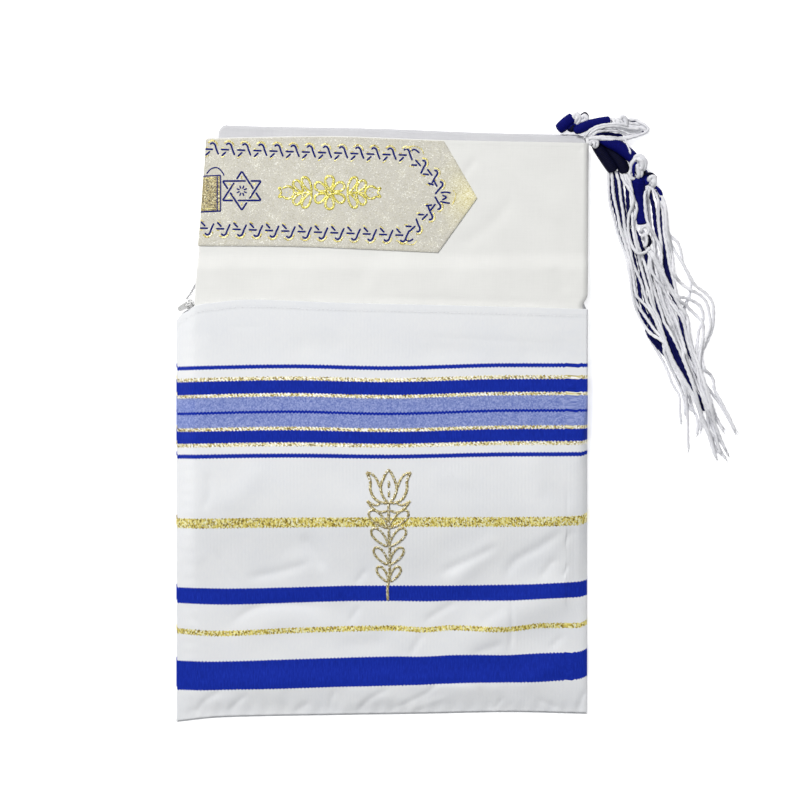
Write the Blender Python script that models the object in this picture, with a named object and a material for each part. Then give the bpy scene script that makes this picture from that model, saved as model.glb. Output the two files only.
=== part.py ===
"""A folded prayer shawl (tallit) standing out of the open zip bag made with it.

The shawl lies on its back, folded to a flat packet of twelve layers: in half
at the middle of the neckband, in three across, then in half in height. Its
lower part is in the bag, its upper part lies on the table with half of the
neckband on top, and the four corner tassels run out at the top right corner.

Everything is in millimetres here and is scaled to metres as it is built.
X runs across the bag, Y from the bag's bottom to its mouth, Z up from the
table. The origin is on the underside of the bag's back panel.
"""

import math

import bpy
from mathutils import Matrix, Vector

MM = 0.001
GAP = 0.3           # seam gap between neighbouring pieces

# ---- sizes -------------------------------------------------------------
BAG_HALF = 154.5    # half of the bag's width
BAG_CLOTH = 1.2     # wall of the bag's cloth
SHAWL_CLOTH = 1.0   # wall of the shawl's cloth
BAND = 1.0          # wall of the neckband
TAPE = 0.8          # wall of the zip tapes
TAPE_WIDE = 12.0    # width of one zip tape
TAPE_IN = 1.0       # the tape starts this far inside the mouth's edge

PACKET_LOW = 2.7    # underside of the packet, over the bag's back and a tape
PACKET_FOOT = 8.3   # the packet's bottom fold, inside the bag
TOP = 13.2          # upper face of the shawl's front layer, in the bag
DROP_FROM, DROP_TO = 183.0, 197.0   # past the bag the packet settles on the table
CROWN = 1.2         # the packet is this much fuller in its middle

LEFT_RAMP = 15.6    # slack cloth from the left seam up to the packet
RIGHT_ROUND = 4.6   # the front panel turns down round the packet's right side

BAND_FOOT, BAND_HEAD = 201.8, 281.9   # the neckband's lower and upper edge
BAND_TIP = 238.5                      # height of its point


def table(*rows):
    """Rows of numbers as a smooth function of the first column."""
    def at(x, column=1):
        if x <= rows[0][0]:
            return rows[0][column]
        if x >= rows[-1][0]:
            return rows[-1][column]
        for i in range(len(rows) - 1):
            a, b = rows[i], rows[i + 1]
            if x <= b[0]:
                before = rows[max(i - 1, 0)]
                after = rows[min(i + 2, len(rows) - 1)]
                h = b[0] - a[0]
                t = (x - a[0]) / h
                m0 = (b[column] - before[column]) / max(b[0] - before[0], 1e-9)
                m1 = (after[column] - a[column]) / max(after[0] - a[0], 1e-9)
                chord = (b[column] - a[column]) / h
                m0 = 0.0 if m0 * chord <= 0 else math.copysign(min(abs(m0), 2.5 * abs(chord)), chord)
                m1 = 0.0 if m1 * chord <= 0 else math.copysign(min(abs(m1), 2.5 * abs(chord)), chord)
                return ((2 * t**3 - 3 * t**2 + 1) * a[column] + (t**3 - 2 * t**2 + t) * h * m0
                        + (3 * t**2 - 2 * t**3) * b[column] + (t**3 - t**2) * h * m1)
    return at


def ease(t):
    t = min(max(t, 0.0), 1.0)
    return t * t * (3 - 2 * t)


# ---- outlines ----------------------------------------------------------
#                        x      y
FRONT_MOUTH = table((-154.5, 147.0), (-150.8, 150.8), (-145.5, 153.0), (-139.5, 156.8),
                    (-125.3, 159.0), (-100.5, 161.3), (-34.5, 159.0), (58.5, 156.8), (154.5, 154.2))
FRONT_FOOT = table((-154.5, -156.6), (-123.0, -153.4), (-34.5, -151.5), (31.5, -150.5),
                   (96.0, -149.3), (154.5, -150.6))
BACK_MOUTH = table((-155.3, 146.5), (-150.6, 152.0), (-146.6, 154.5), (-140.3, 157.5), (-134.0, 169.0), (-125.0, 178.0),
                   (-39.0, 180.6), (58.0, 180.0), (133.5, 175.5), (148.5, 167.0), (154.0, 154.5))
#                          y      x of the left fold
SHAWL_LEFT = table((8.0, -138.4), (120.0, -138.8), (159.0, -140.3), (201.8, -137.3), (236.0, -134.3), (283.0, -131.2), (296.0, -130.6))
#                           y     x of the right fold
SHAWL_RIGHT = table((8.0, 150.9), (156.6, 150.9), (165.0, 154.4), (279.0, 155.4), (296.0, 155.6))
#                         x      y of the front half's top edge
FRONT_HEAD = table((-131.0, 282.7), (-39.0, 284.2), (43.5, 281.2), (156.0, 279.0))
#                       x      y of the back half's top edge
BACK_HEAD = table((-123.0, 294.0), (13.5, 290.3), (156.0, 285.8))

#                      y     height of the front panel's outer face over the packet
BAG_RISE = table((-157.0, 2.8), (-149.0, 3.0), (-138.0, 4.6), (-110.0, 5.2), (-80.0, 5.6), (-52.0, 7.0),
                 (-28.0, 10.0), (-8.0, 13.4), (8.0, 15.0), (30.0, 15.2), (120.0, 15.2), (140.0, 15.9), (162.0, 16.2))
#                       y     share of the crown
CROWN_AT = table((0.0, 0.0), (50.0, 1.0), (230.0, 1.0), (296.0, 0.35))


# The largest soft troughs in the slack lower half of the bag's front panel.
#           x0      y0      x1      y1    width  depth
TROUGHS = [(-120.0, -96.0, -28.0, -62.0, 13.0, 0.8),
           (-40.0, -118.0, 66.0, -84.0, 15.0, 0.9),
           (60.0, -70.0, 142.0, -30.0, 14.0, 0.9),
           (95.9, -64.0, 96.4, -100.0, 5.0, 0.9)]


def trough(x, y):
    """How far the largest creases sink the panel at a place."""
    sunk = 0.0
    for x0, y0, x1, y1, wide, deep in TROUGHS:
        dx, dy = x1 - x0, y1 - y0
        run = math.hypot(dx, dy)
        t = ((x - x0) * dx + (y - y0) * dy) / run**2
        off = ((x - x0) * dy - (y - y0) * dx) / run
        ends = ease(t / 0.3 + 0.3) * ease((1 - t) / 0.3 + 0.3)
        sunk += deep * ends * math.exp(-(off / wide) ** 2)
    return sunk


def settle(x, y, z):
    """Crown of the packet, and its step down to the table past the bag."""
    full = min(max((z - PACKET_LOW) / (TOP - PACKET_LOW), 0.0), 1.3)
    crown = CROWN * max(0.0, 1 - (x / 156.0) ** 2) * CROWN_AT(y) * full
    return z + crown - PACKET_LOW * ease((y - DROP_FROM) / (DROP_TO - DROP_FROM))


# ---- making ------------------------------------------------------------
for ob in list(bpy.data.objects):
    bpy.data.objects.remove(ob, do_unlink=True)


def material(name, colour, rough, metal=0.0):
    mat = bpy.data.materials.new(name)
    mat.use_nodes = True
    shader = mat.node_tree.nodes["Principled BSDF"]
    shader.inputs["Base Color"].default_value = (*colour, 1.0)
    shader.inputs["Roughness"].default_value = rough
    shader.inputs["Metallic"].default_value = metal
    return mat


def piece(name, points, faces, mat):
    """One closed body in metres, with its faces pointing out."""
    mesh = bpy.data.meshes.new(name)
    mesh.from_pydata([tuple(c * MM for c in p) for p in points], [], faces)
    mesh.validate()
    volume = 0.0
    for poly in mesh.polygons:
        a = mesh.vertices[poly.vertices[0]].co
        for i in range(1, len(poly.vertices) - 1):
            b = mesh.vertices[poly.vertices[i]].co
            c = mesh.vertices[poly.vertices[i + 1]].co
            volume += a.dot(b.cross(c))
    if volume < 0:
        mesh.flip_normals()
    mesh.materials.append(mat)
    ob = bpy.data.objects.new(name, mesh)
    bpy.context.collection.objects.link(ob)
    return ob


def grid_normals(grid):
    """Unit normals of a grid of points, rows along Y and columns across."""
    rows, cols = len(grid), len(grid[0])
    out = []
    for i in range(rows):
        line = []
        for j in range(cols):
            a = Vector(grid[min(i + 1, rows - 1)][j]) - Vector(grid[max(i - 1, 0)][j])
            b = Vector(grid[i][min(j + 1, cols - 1)]) - Vector(grid[i][max(j - 1, 0)])
            line.append(b.cross(a).normalized())
        out.append(line)
    return out


def wall(name, grid, depth, mat, under=0.0):
    """A cloth wall under a grid of points on its outer face: it fills from
    `under` to `under + depth` below them, measured along their normals."""
    rows, cols = len(grid), len(grid[0])
    normals = grid_normals(grid)
    points = []
    for deep in (under, under + depth):
        for i in range(rows):
            for j in range(cols):
                points.append(tuple(Vector(grid[i][j]) - normals[i][j] * deep))
    at = lambda side, i, j: side * rows * cols + i * cols + j
    faces = []
    for i in range(rows - 1):
        for j in range(cols - 1):
            faces.append((at(0, i, j), at(0, i, j + 1), at(0, i + 1, j + 1), at(0, i + 1, j)))
            faces.append((at(1, i, j), at(1, i + 1, j), at(1, i + 1, j + 1), at(1, i, j + 1)))
    rim = ([(0, j) for j in range(cols)] + [(i, cols - 1) for i in range(1, rows)]
           + [(rows - 1, j) for j in range(cols - 2, -1, -1)] + [(i, 0) for i in range(rows - 2, 0, -1)])
    for k, (i, j) in enumerate(rim):
        m, n = rim[(k + 1) % len(rim)]
        faces.append((at(0, i, j), at(1, i, j), at(1, m, n), at(0, m, n)))
    return piece(name, points, faces, mat)


def spread(low, high, count):
    return [low + (high - low) * k / (count - 1) for k in range(count)]


# ---- the bag's front panel ---------------------------------------------
def panel_x(s):
    """Place across the front panel for s from 0 to 1 along its section, and
    how far it has come down (0 to 1) on the right-hand turn."""
    turn = 0.84
    if s < turn:
        return -BAG_HALF + (2 * BAG_HALF - RIGHT_ROUND) * (s / turn), 0.0
    return None, (s - turn) / (1 - turn)


#           s along the section
PANEL_S = [0.0, 0.012, 0.024, 0.036, 0.048, 0.062, 0.12, 0.21, 0.30, 0.39, 0.48, 0.57, 0.66, 0.75,
           0.84, 0.88, 0.92, 0.96, 1.0]
#           share of the way from the bottom seam to the mouth
PANEL_T = [0.0, 0.02, 0.055, 0.12, 0.20, 0.28, 0.35, 0.41, 0.47, 0.53, 0.60, 0.72, 0.84, 0.92, 0.96, 1.0]
SEAM_TOP = 1.2 + GAP + BAG_CLOTH     # outer face of the front panel at its seams


def panel_point(s, y_share=None, y=None):
    """A point on the front panel's outer face."""
    x, turn = panel_x(s)
    if x is None:
        angle = turn * math.pi / 2
        x = BAG_HALF - RIGHT_ROUND * (1 - math.sin(angle))
        drop = max(math.cos(angle), 0.0) ** 0.6
    else:
        drop = 1.0
    if y is None:
        foot, mouth = FRONT_FOOT(x), FRONT_MOUTH(x)
        y = foot + (mouth - foot) * y_share
    high = settle(x, y, BAG_RISE(y)) if y > 0 else BAG_RISE(y)
    ramp = ease((x + BAG_HALF) / LEFT_RAMP)
    if y < 0:
        high -= trough(x, y)
    z = SEAM_TOP + (max(high, SEAM_TOP) - SEAM_TOP) * ramp * drop
    if turn > 0.999:
        z = 1.2 + GAP + 0.2 + 1.0 * max(0.0, 1 - (high - SEAM_TOP) / 6.0)
    return (x, y, z)


bag_cloth = material("bag_cloth", (0.80, 0.81, 0.83), 0.75)
bag_lower = material("bag_back_cloth", (0.78, 0.79, 0.82), 0.75)
wall("bag_front", [[panel_point(s, t) for s in PANEL_S] for t in PANEL_T], BAG_CLOTH, bag_cloth)

# ---- the bag's back panel: flat on the table ------------------------------
sides = 15
outline = [(x, FRONT_FOOT(x)) for x in spread(-155.3, 154.3, sides)]
outline += [(x, BACK_MOUTH(x)) for x in (154.3, 152.0, 148.5, 142.0, 133.5, 96.0, 58.0, 10.0, -39.0, -85.0,
                                         -125.0, -129.0, -134.0, -137.5, -140.3, -143.5, -146.6, -150.6, -155.3)]
count = len(outline)
points = [(x, y, 0.0) for x, y in outline] + [(x, y, BAG_CLOTH) for x, y in outline]
faces = [tuple(range(count))[::-1], tuple(range(count, 2 * count))]
faces += [(k, (k + 1) % count, count + (k + 1) % count, count + k) for k in range(count)]
piece("bag_back", points, faces, bag_lower)

# ---- zip tapes, sewn inside both edges of the mouth ----------------------
tape_mat = material("zip_tape", (0.82, 0.82, 0.82), 0.7)
tape_s = [0.014, 0.024, 0.036, 0.048, 0.062, 0.12, 0.21, 0.30, 0.39, 0.48, 0.57, 0.66, 0.75, 0.84, 0.88]


def tape_front_point(s, t):
    mouth = FRONT_MOUTH(panel_point(s, 1.0)[0])
    return panel_point(s, y=mouth - TAPE_IN - TAPE_WIDE * (1 - t))


wall("zip_tape_front", [[tape_front_point(s, t) for s in tape_s] for t in (0.0, 0.5, 1.0)],
     TAPE, tape_mat, under=BAG_CLOTH + GAP)

# The back tape stands on edge from the slider to the packet's side, then
# turns flat on the back panel. Rows: middle of the tape, its lean from
# upright (0) to flat (90 degrees), and its half width.
#              x       y      z    lean  half width
BACK_TAPE = [(-147.4, 162.3, 4.9, 0.0, 3.2), (-144.6, 166.2, 5.0, 0.0, 3.4), (-141.4, 171.2, 5.0, 8.0, 3.4),
             (-138.0, 174.0, 4.4, 40.0, 3.4), (-134.2, 175.2, 2.9, 74.0, 4.0), (-130.0, 174.6, 1.95, 90.0, 5.0)]
BACK_TAPE += [(x, BACK_MOUTH(x) - TAPE_IN - TAPE_WIDE / 2, BAG_CLOTH + GAP + TAPE / 2, 90.0, TAPE_WIDE / 2)
              for x in (-122.0, -85.0, -39.0, 10.0, 58.0, 96.0, 133.5, 142.0)]
points, faces = [], []
for k, (x, y, z, lean, half) in enumerate(BACK_TAPE):
    a, b = BACK_TAPE[max(k - 1, 0)], BACK_TAPE[min(k + 1, len(BACK_TAPE) - 1)]
    along = Vector((b[0] - a[0], b[1] - a[1], 0.0)).normalized()
    out = Vector((-along.y, along.x, 0.0))
    turned = math.radians(lean)
    wide = out * math.sin(turned) + Vector((0.0, 0.0, 1.0)) * math.cos(turned)
    thick = wide.cross(along)
    for p, q in ((-1, -1), (1, -1), (1, 1), (-1, 1)):
        at = Vector((x, y, z)) + wide * half * p + thick * TAPE / 2 * q
        points.append((at.x, at.y, at.z))
for k in range(len(BACK_TAPE) - 1):
    faces += [(4 * k + n, 4 * k + (n + 1) % 4, 4 * k + 4 + (n + 1) % 4, 4 * k + 4 + n) for n in range(4)]
last = 4 * (len(BACK_TAPE) - 1)
faces += [(0, 3, 2, 1), (last, last + 1, last + 2, last + 3)]
piece("zip_tape_back", points, faces, tape_mat)

# ---- the shawl's front layer ---------------------------------------------
FOLD_R = 1.15        # outer radius of the left fold
LIP = 12.0           # the cloth turned under at the left fold
SIDE_R = 5.0         # rounding at the right fold
SIDE_DEEP = 4.4


def front_section(y):
    """(x, z) of the front layer's outer face, from the turned-under lip at
    the left, round the fold, across, and down round the right fold."""
    left, right = SHAWL_LEFT(y), SHAWL_RIGHT(y)
    low = TOP - 2 * FOLD_R
    line = [(left + LIP, low), (left + 6.0, low)]
    for k in range(5):
        angle = math.radians(270 - 45 * k)
        line.append((left + FOLD_R + FOLD_R * math.cos(angle), TOP - FOLD_R + FOLD_R * math.sin(angle)))
    line += [(x, TOP) for x in spread(left + 8.0, right - SIDE_R, 9)]
    for k in range(1, 5):
        angle = math.radians(90 - 22.5 * k)
        line.append((right - SIDE_R + SIDE_R * math.cos(angle), TOP - SIDE_DEEP + SIDE_DEEP * math.sin(angle)))
    return line


shawl_cloth = material("shawl_cloth", (0.82, 0.82, 0.80), 0.75)
row_y = [10.5, 50.0, 100.0, 156.6, 160.8, 165.0, 182.0, 186.0, 190.0, 194.0, 198.0, 225.0, 255.0]
grid = [[(x, y, settle(x, y, z)) for x, z in front_section(y)] for y in row_y]
for share in (0.6, 1.0):
    line = []
    for x, z in front_section(282.0):
        y = 255.0 + (FRONT_HEAD(x) - 255.0) * share
        x += (SHAWL_LEFT(y) - SHAWL_LEFT(282.0)) if x < 0 else 0.0
        line.append((x, y, settle(x, y, z)))
    grid.append(line)
wall("shawl_front_layer", grid, SHAWL_CLOTH, shawl_cloth)

# ---- the shawl's hidden layers: one rounded solid, layered at its edges ----
#          low    high   left  right  back half?
LEAVES = [(2.7, 4.4, 8.6, 2.2, True),
          (4.4, 6.1, 7.6, 1.2, True),
          (6.1, 7.8, 8.8, 2.6, True),
          (7.8, 9.3, 3.4, 2.6, False),
          (9.3, 10.6, 2.6, 3.3, False),
          (10.6, 11.9, 14.0, 6.0, False)]
GROOVE = 1.1         # depth of the grooves between leaves
LEAF_EDGE = 0.35     # rounding of a leaf's edge
CORNER_R = 7.0       # leaves have rounded corners
ACROSS = [0.0, 0.008, 0.024, 0.16, 0.33, 0.5, 0.67, 0.84, 0.976, 0.992, 1.0]
#        measured from       mm
ALONG = [("foot", 0.0), ("foot", 2.2), ("foot", 7.0), ("origin", 90.0), ("origin", 160.0), ("origin", 183.0),
         ("origin", 186.5), ("origin", 190.0), ("origin", 193.5), ("origin", 197.0), ("origin", 240.0),
         ("head", -7.0), ("head", -2.2), ("head", 0.0)]


def leaf_point(u, station, left_in, right_in, back, inset):
    """A place in plan on a leaf, for a share u across it and a station along it."""
    base, along = station
    foot = PACKET_FOOT + 1.2 + inset
    x, y = 0.0, along
    for _ in range(3):
        head = (BACK_HEAD(x) if back else FRONT_HEAD(x) - 1.6) - inset
        y = {"foot": foot, "origin": 0.0, "head": head}[base] + along
        left = SHAWL_LEFT(y) + left_in + inset
        right = SHAWL_RIGHT(y) - right_in - inset
        x = left + (right - left) * u
    dx = min(x - left, right - x)
    dy = min(y - foot, head - y)
    if dx < CORNER_R and dy < CORNER_R:
        away = math.hypot(CORNER_R - dx, CORNER_R - dy)
        if away > CORNER_R:
            k = CORNER_R / away
            ndx = CORNER_R - (CORNER_R - dx) * k
            ndy = CORNER_R - (CORNER_R - dy) * k
            x = left + ndx if x - left < right - x else right - ndx
            y = foot + ndy if y - foot < head - y else head - ndy
    return x, y


rows, cols = len(ALONG), len(ACROSS)
rim = ([(0, j) for j in range(cols)] + [(i, cols - 1) for i in range(1, rows)]
       + [(rows - 1, j) for j in range(cols - 2, -1, -1)] + [(i, 0) for i in range(rows - 2, 0, -1)])
levels = []
for k, (low, high, left_in, right_in, back) in enumerate(LEAVES):
    levels.append((low, left_in, right_in, back, GROOVE))
    levels.append((low + LEAF_EDGE, left_in, right_in, back, 0.0))
    levels.append((high - LEAF_EDGE, left_in, right_in, back, 0.0))
    levels.append((high - 0.02, left_in, right_in, back, GROOVE))
points, faces = [], []


def ring(level):
    z, left_in, right_in, back, inset = level
    start = len(points)
    for i, j in rim:
        x, y = leaf_point(ACROSS[j], ALONG[i], left_in, right_in, back, inset)
        points.append((x, y, settle(x, y, z)))
    return start


starts = [ring(level) for level in levels]
for a, b in zip(starts, starts[1:]):
    for k in range(len(rim)):
        m = (k + 1) % len(rim)
        faces.append((a + k, a + m, b + m, b + k))
for level, start, flip in ((levels[0], starts[0], True), (levels[-1], starts[-1], False)):
    z, left_in, right_in, back, inset = level
    where = {cell: start + k for k, cell in enumerate(rim)}
    for i in range(1, rows - 1):
        for j in range(1, cols - 1):
            x, y = leaf_point(ACROSS[j], ALONG[i], left_in, right_in, back, inset)
            where[(i, j)] = len(points)
            points.append((x, y, settle(x, y, z)))
    for i in range(rows - 1):
        for j in range(cols - 1):
            quad = (where[(i, j)], where[(i, j + 1)], where[(i + 1, j + 1)], where[(i + 1, j)])
            faces.append(quad[::-1] if flip else quad)
piece("shawl_folded_layers", points, faces, material("shawl_inner_cloth", (0.78, 0.78, 0.78), 0.8))

# ---- the neckband (atarah) -------------------------------------------------
BAND_OUT = GAP + BAND    # its outer face above the front layer's


def band_end(v):
    """Where the pointed end lies at a share v of the band's height."""
    tip = (BAND_TIP - BAND_FOOT) / (BAND_HEAD - BAND_FOOT)
    return 42.0 + (71.3 - 42.0) * v / tip if v < tip else 46.5 + (71.3 - 46.5) * (1 - v) / (1 - tip)


grid = []
for v in (0.0, 0.12, 0.28, 0.458, 0.64, 0.82, 0.93, 1.0):
    y = BAND_FOOT + (BAND_HEAD - BAND_FOOT) * v
    left = SHAWL_LEFT(y)
    line = []
    for degrees in (222, 195, 168, 141, 114, 90):
        angle = math.radians(degrees)
        r = FOLD_R + BAND_OUT
        line.append((left + FOLD_R + r * math.cos(angle), y, TOP - FOLD_R + r * math.sin(angle)))
    line += [(x, y, TOP + BAND_OUT) for x in spread(left + 12.0, band_end(v), 10)]
    grid.append([(x, y, settle(x, y, z)) for x, y, z in line])
wall("atarah_neckband", grid, BAND, material("neckband_lurex", (0.66, 0.63, 0.55), 0.5))

# ---- tassels ----------------------------------------------------------------
SIDES = 10


def bundle(name, rows, mat):
    """A rounded solid along rows of x, y, z, half width and half height."""
    points, faces = [], []
    for k, (x, y, z, wide, high) in enumerate(rows):
        a, b = rows[max(k - 1, 0)], rows[min(k + 1, len(rows) - 1)]
        along = Vector((b[0] - a[0], b[1] - a[1], b[2] - a[2])).normalized()
        side = Vector((along.y, -along.x, 0.0)).normalized()
        up = side.cross(along)
        for n in range(SIDES):
            angle = 2 * math.pi * (n + 0.5) / SIDES
            p = Vector((x, y, z)) + side * wide * math.cos(angle) + up * high * math.sin(angle)
            points.append((p.x, p.y, max(p.z, 0.05)))
    for k in range(len(rows) - 1):
        for n in range(SIDES):
            m = (n + 1) % SIDES
            faces.append((k * SIDES + n, k * SIDES + m, (k + 1) * SIDES + m, (k + 1) * SIDES + n))
    faces.append(tuple(range(SIDES))[::-1])
    faces.append(tuple((len(rows) - 1) * SIDES + n for n in range(SIDES)))
    return piece(name, points, faces, mat)


blue = material("winding_thread", (0.02, 0.03, 0.22), 0.6)
white = material("tassel_thread", (0.82, 0.82, 0.84), 0.7)
#        x      y      z    half width, half height
bundle("tassel_a_winding", [
    (131.6, 290.9, 4.4, 3.4, 3.4), (134.0, 292.8, 4.6, 4.3, 4.3), (139.5, 296.9, 4.6, 4.4, 4.4),
    (143.4, 299.6, 4.6, 4.2, 4.2), (145.0, 300.4, 4.9, 4.9, 4.8), (148.0, 300.2, 5.0, 5.3, 4.9),
    (151.4, 298.6, 4.8, 4.8, 4.6), (153.2, 297.4, 4.0, 3.0, 3.4)], blue)
bundle("tassel_a_link", [
    (155.6, 295.2, 1.5, 3.4, 1.3), (163.5, 289.0, 1.5, 4.2, 1.35), (174.8, 281.5, 1.5, 4.2, 1.35),
    (187.0, 271.0, 1.5, 4.2, 1.35), (196.4, 261.4, 1.5, 3.6, 1.35), (200.0, 256.6, 2.6, 3.4, 2.4),
    (203.4, 252.0, 4.4, 4.4, 4.2), (205.2, 248.2, 4.4, 4.2, 4.2), (206.2, 244.6, 3.4, 3.2, 3.2)], blue)
bundle("tassel_b_winding", [
    (146.6, 288.2, 8.9, 2.6, 2.6), (149.8, 289.7, 9.0, 3.3, 3.3), (155.5, 291.8, 8.8, 3.6, 3.6),
    (163.5, 294.0, 7.6, 3.8, 3.8), (171.2, 295.3, 6.0, 4.0, 4.0), (173.6, 295.4, 5.6, 4.6, 4.6),
    (177.8, 295.2, 5.3, 5.2, 5.0), (181.8, 294.9, 5.0, 4.3, 4.3), (183.0, 294.8, 4.6, 3.0, 3.2)], blue)
bundle("tassel_b_strands", [
    (184.8, 295.0, 4.4, 2.6, 2.6), (189.0, 296.0, 4.4, 3.2, 2.8), (194.5, 296.2, 4.2, 3.4, 2.8),
    (199.4, 294.6, 4.4, 3.2, 2.8), (201.6, 291.2, 5.0, 2.6, 2.6), (199.0, 287.9, 5.6, 2.6, 2.5),
    (193.0, 286.6, 6.0, 2.8, 2.4), (181.0, 286.4, 6.2, 3.0, 2.4), (170.0, 286.2, 6.2, 3.0, 2.4),
    (162.5, 285.0, 6.4, 2.8, 2.4)], white)
bundle("tassel_c_winding", [
    (156.3, 279.4, 8.2, 1.1, 1.1), (159.4, 280.2, 9.8, 1.3, 1.3), (164.5, 279.8, 10.0, 1.4, 1.4),
    (168.8, 278.4, 8.4, 2.2, 2.2), (171.0, 277.4, 7.8, 3.4, 3.4), (173.6, 276.6, 7.7, 4.0, 4.0), (180.5, 274.4, 7.8, 4.2, 4.2),
    (186.8, 269.8, 8.0, 4.3, 4.3), (189.6, 266.6, 8.6, 5.2, 5.0), (191.8, 261.8, 8.8, 6.0, 5.3),
    (193.0, 257.0, 7.0, 5.0, 4.6), (193.5, 252.6, 5.4, 4.0, 4.1), (193.5, 236.0, 4.6, 4.3, 4.3),
    (193.6, 218.0, 4.6, 4.3, 4.3), (194.4, 213.6, 4.8, 4.9, 4.6), (196.6, 209.4, 4.8, 5.2, 4.6),
    (198.4, 205.2, 4.6, 4.4, 4.2), (199.2, 202.6, 3.8, 3.2, 3.4)], blue)
bundle("tassel_c_strands", [
    (199.6, 200.8, 3.6, 3.0, 3.0), (201.2, 188.0, 3.3, 3.9, 3.2), (203.0, 176.3, 3.2, 4.2, 3.1),
    (208.5, 153.8, 3.1, 4.2, 3.0), (219.5, 127.5, 3.1, 4.1, 3.0), (231.0, 101.3, 3.0, 4.0, 2.9),
    (240.8, 77.3, 2.6, 4.2, 2.5), (247.6, 58.0, 1.9, 4.2, 1.8), (252.0, 45.0, 1.4, 3.4, 1.3)], white)
bundle("tassel_d_winding", [
    (158.0, 281.2, 4.0, 1.5, 1.7), (159.8, 279.6, 4.2, 2.4, 2.6), (161.6, 277.6, 4.3, 3.6, 3.6), (164.6, 273.4, 4.4, 4.2, 4.2),
    (169.6, 266.2, 4.4, 4.3, 4.3), (172.8, 261.2, 4.5, 4.7, 4.4), (174.8, 257.4, 4.0, 3.8, 3.8)], blue)
bundle("tassel_d_strands", [
    (175.4, 255.6, 3.7, 3.6, 3.4), (177.0, 246.0, 3.4, 5.2, 3.3), (178.4, 232.0, 3.3, 5.6, 3.2),
    (183.0, 210.0, 3.2, 5.2, 3.1), (187.2, 192.0, 3.1, 5.4, 3.0), (195.8, 161.3, 3.1, 5.4, 3.0),
    (206.0, 135.0, 3.1, 5.2, 3.0), (217.5, 107.3, 2.8, 4.8, 2.7), (226.0, 86.3, 2.2, 4.0, 2.1),
    (231.0, 60.0, 1.5, 3.2, 1.4), (232.4, 50.0, 1.2, 2.6, 1.1)], white)
bundle("tassel_a_strands", [
    (206.8, 242.4, 3.2, 3.0, 2.9), (208.4, 228.0, 3.0, 4.0, 2.8), (211.4, 208.0, 2.9, 4.4, 2.7),
    (217.0, 180.0, 2.7, 6.4, 2.5), (229.6, 152.0, 2.6, 10.5, 2.4), (237.6, 128.0, 2.6, 9.4, 2.4),
    (243.8, 103.0, 2.6, 6.6, 2.4), (251.2, 80.0, 2.2, 5.2, 2.1), (260.6, 63.0, 1.6, 5.0, 1.5),
    (264.6, 55.0, 1.2, 3.2, 1.1)], white)

# ---- zip slider and its pull tab, at the left end of the mouth --------------
SLIDE_AT = Vector((-145.0, 158.4, 0.0))
SLIDE_TURN = math.radians(25)
SLIDE_LONG, SLIDE_WIDE = 3.75, 3.0       # half sizes
SLIDE_LOW, SLIDE_HIGH = 1.8, 5.0
AXIS_S, AXIS_Z = -1.4, 6.8               # the pull's axis, along and above the slider
BAR = 0.45                               # half thickness of the pull
CROWN_NEAR, CROWN_FAR = 0.8, 1.5         # the crown's strap, from the axis
CROWN_WIDE = 0.8                         # half width of the strap
PULL_TILT = math.radians(25)             # the pull rests tilted down by this

turn = Matrix.Rotation(SLIDE_TURN, 3, "Z")


def on_slider(s, w, z):
    p = turn @ Vector((s, w, 0.0)) + SLIDE_AT
    return (p.x, p.y, z)


shield = [(-1.0, -0.55), (-0.82, -0.86), (-0.35, -1.0), (0.55, -0.92), (1.0, -0.62),
          (1.0, 0.62), (0.55, 0.92), (-0.35, 1.0), (-0.82, 0.86), (-1.0, 0.55)]
points, faces = [], []
for z, k in ((SLIDE_LOW, 0.9), (SLIDE_LOW + 0.2, 1.0), (2.7, 1.0), (2.75, 0.62), (4.05, 0.62), (4.1, 1.0),
             (SLIDE_HIGH - 0.2, 1.0), (SLIDE_HIGH, 0.9)):
    points += [on_slider(s * SLIDE_LONG * (1 if k > 0.7 else 0.8), w * SLIDE_WIDE * k, z) for s, w in shield]
n = len(shield)
for a in range(7):
    faces += [(a * n + k, a * n + (k + 1) % n, (a + 1) * n + (k + 1) % n, (a + 1) * n + k) for k in range(n)]
faces += [tuple(range(n))[::-1], tuple(range(7 * n, 8 * n))]
metal = material("slider_enamel", (0.80, 0.80, 0.80), 0.35)
slider = piece("zip_slider", points, faces, metal)

rear = 2.4           # the crown's rear foot
strap = [(AXIS_S - CROWN_FAR, SLIDE_HIGH - 0.6), (AXIS_S - CROWN_FAR, AXIS_Z + 0.9), (AXIS_S - 0.9, AXIS_Z + CROWN_FAR),
         (rear - 0.6, AXIS_Z + CROWN_FAR - 0.1), (rear, AXIS_Z + 0.5), (rear, SLIDE_HIGH - 0.6),
         (rear - 0.8, SLIDE_HIGH - 0.6), (rear - 0.8, AXIS_Z + 0.3), (rear - 1.1, AXIS_Z + CROWN_NEAR - 0.05),
         (AXIS_S - 0.55, AXIS_Z + CROWN_NEAR), (AXIS_S - CROWN_NEAR, AXIS_Z + 0.55), (AXIS_S - CROWN_NEAR, SLIDE_HIGH - 0.6)]
n = len(strap)
points = [on_slider(s, w, z) for w in (-CROWN_WIDE, CROWN_WIDE) for s, z in strap]
faces = [tuple(range(n)), tuple(range(n, 2 * n))[::-1]]
faces += [(k, n + k, n + (k + 1) % n, (k + 1) % n) for k in range(n)]
crown = piece("zip_slider_crown", points, faces, metal)
join = slider.modifiers.new("crown", "BOOLEAN")
join.operation = "UNION"
join.solver = "EXACT"
join.object = crown
crown.hide_render = True
crown.display_type = "WIRE"

#       along   half width of the pull's outline
PULL = [(-0.45, 2.2), (1.2, 2.35), (3.2, 2.3), (7.6, 1.9), (8.7, 1.3), (9.0, 0.5)]
outline = [(s, -w) for s, w in PULL] + [(s, w) for s, w in reversed(PULL)]
n = len(outline)


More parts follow.
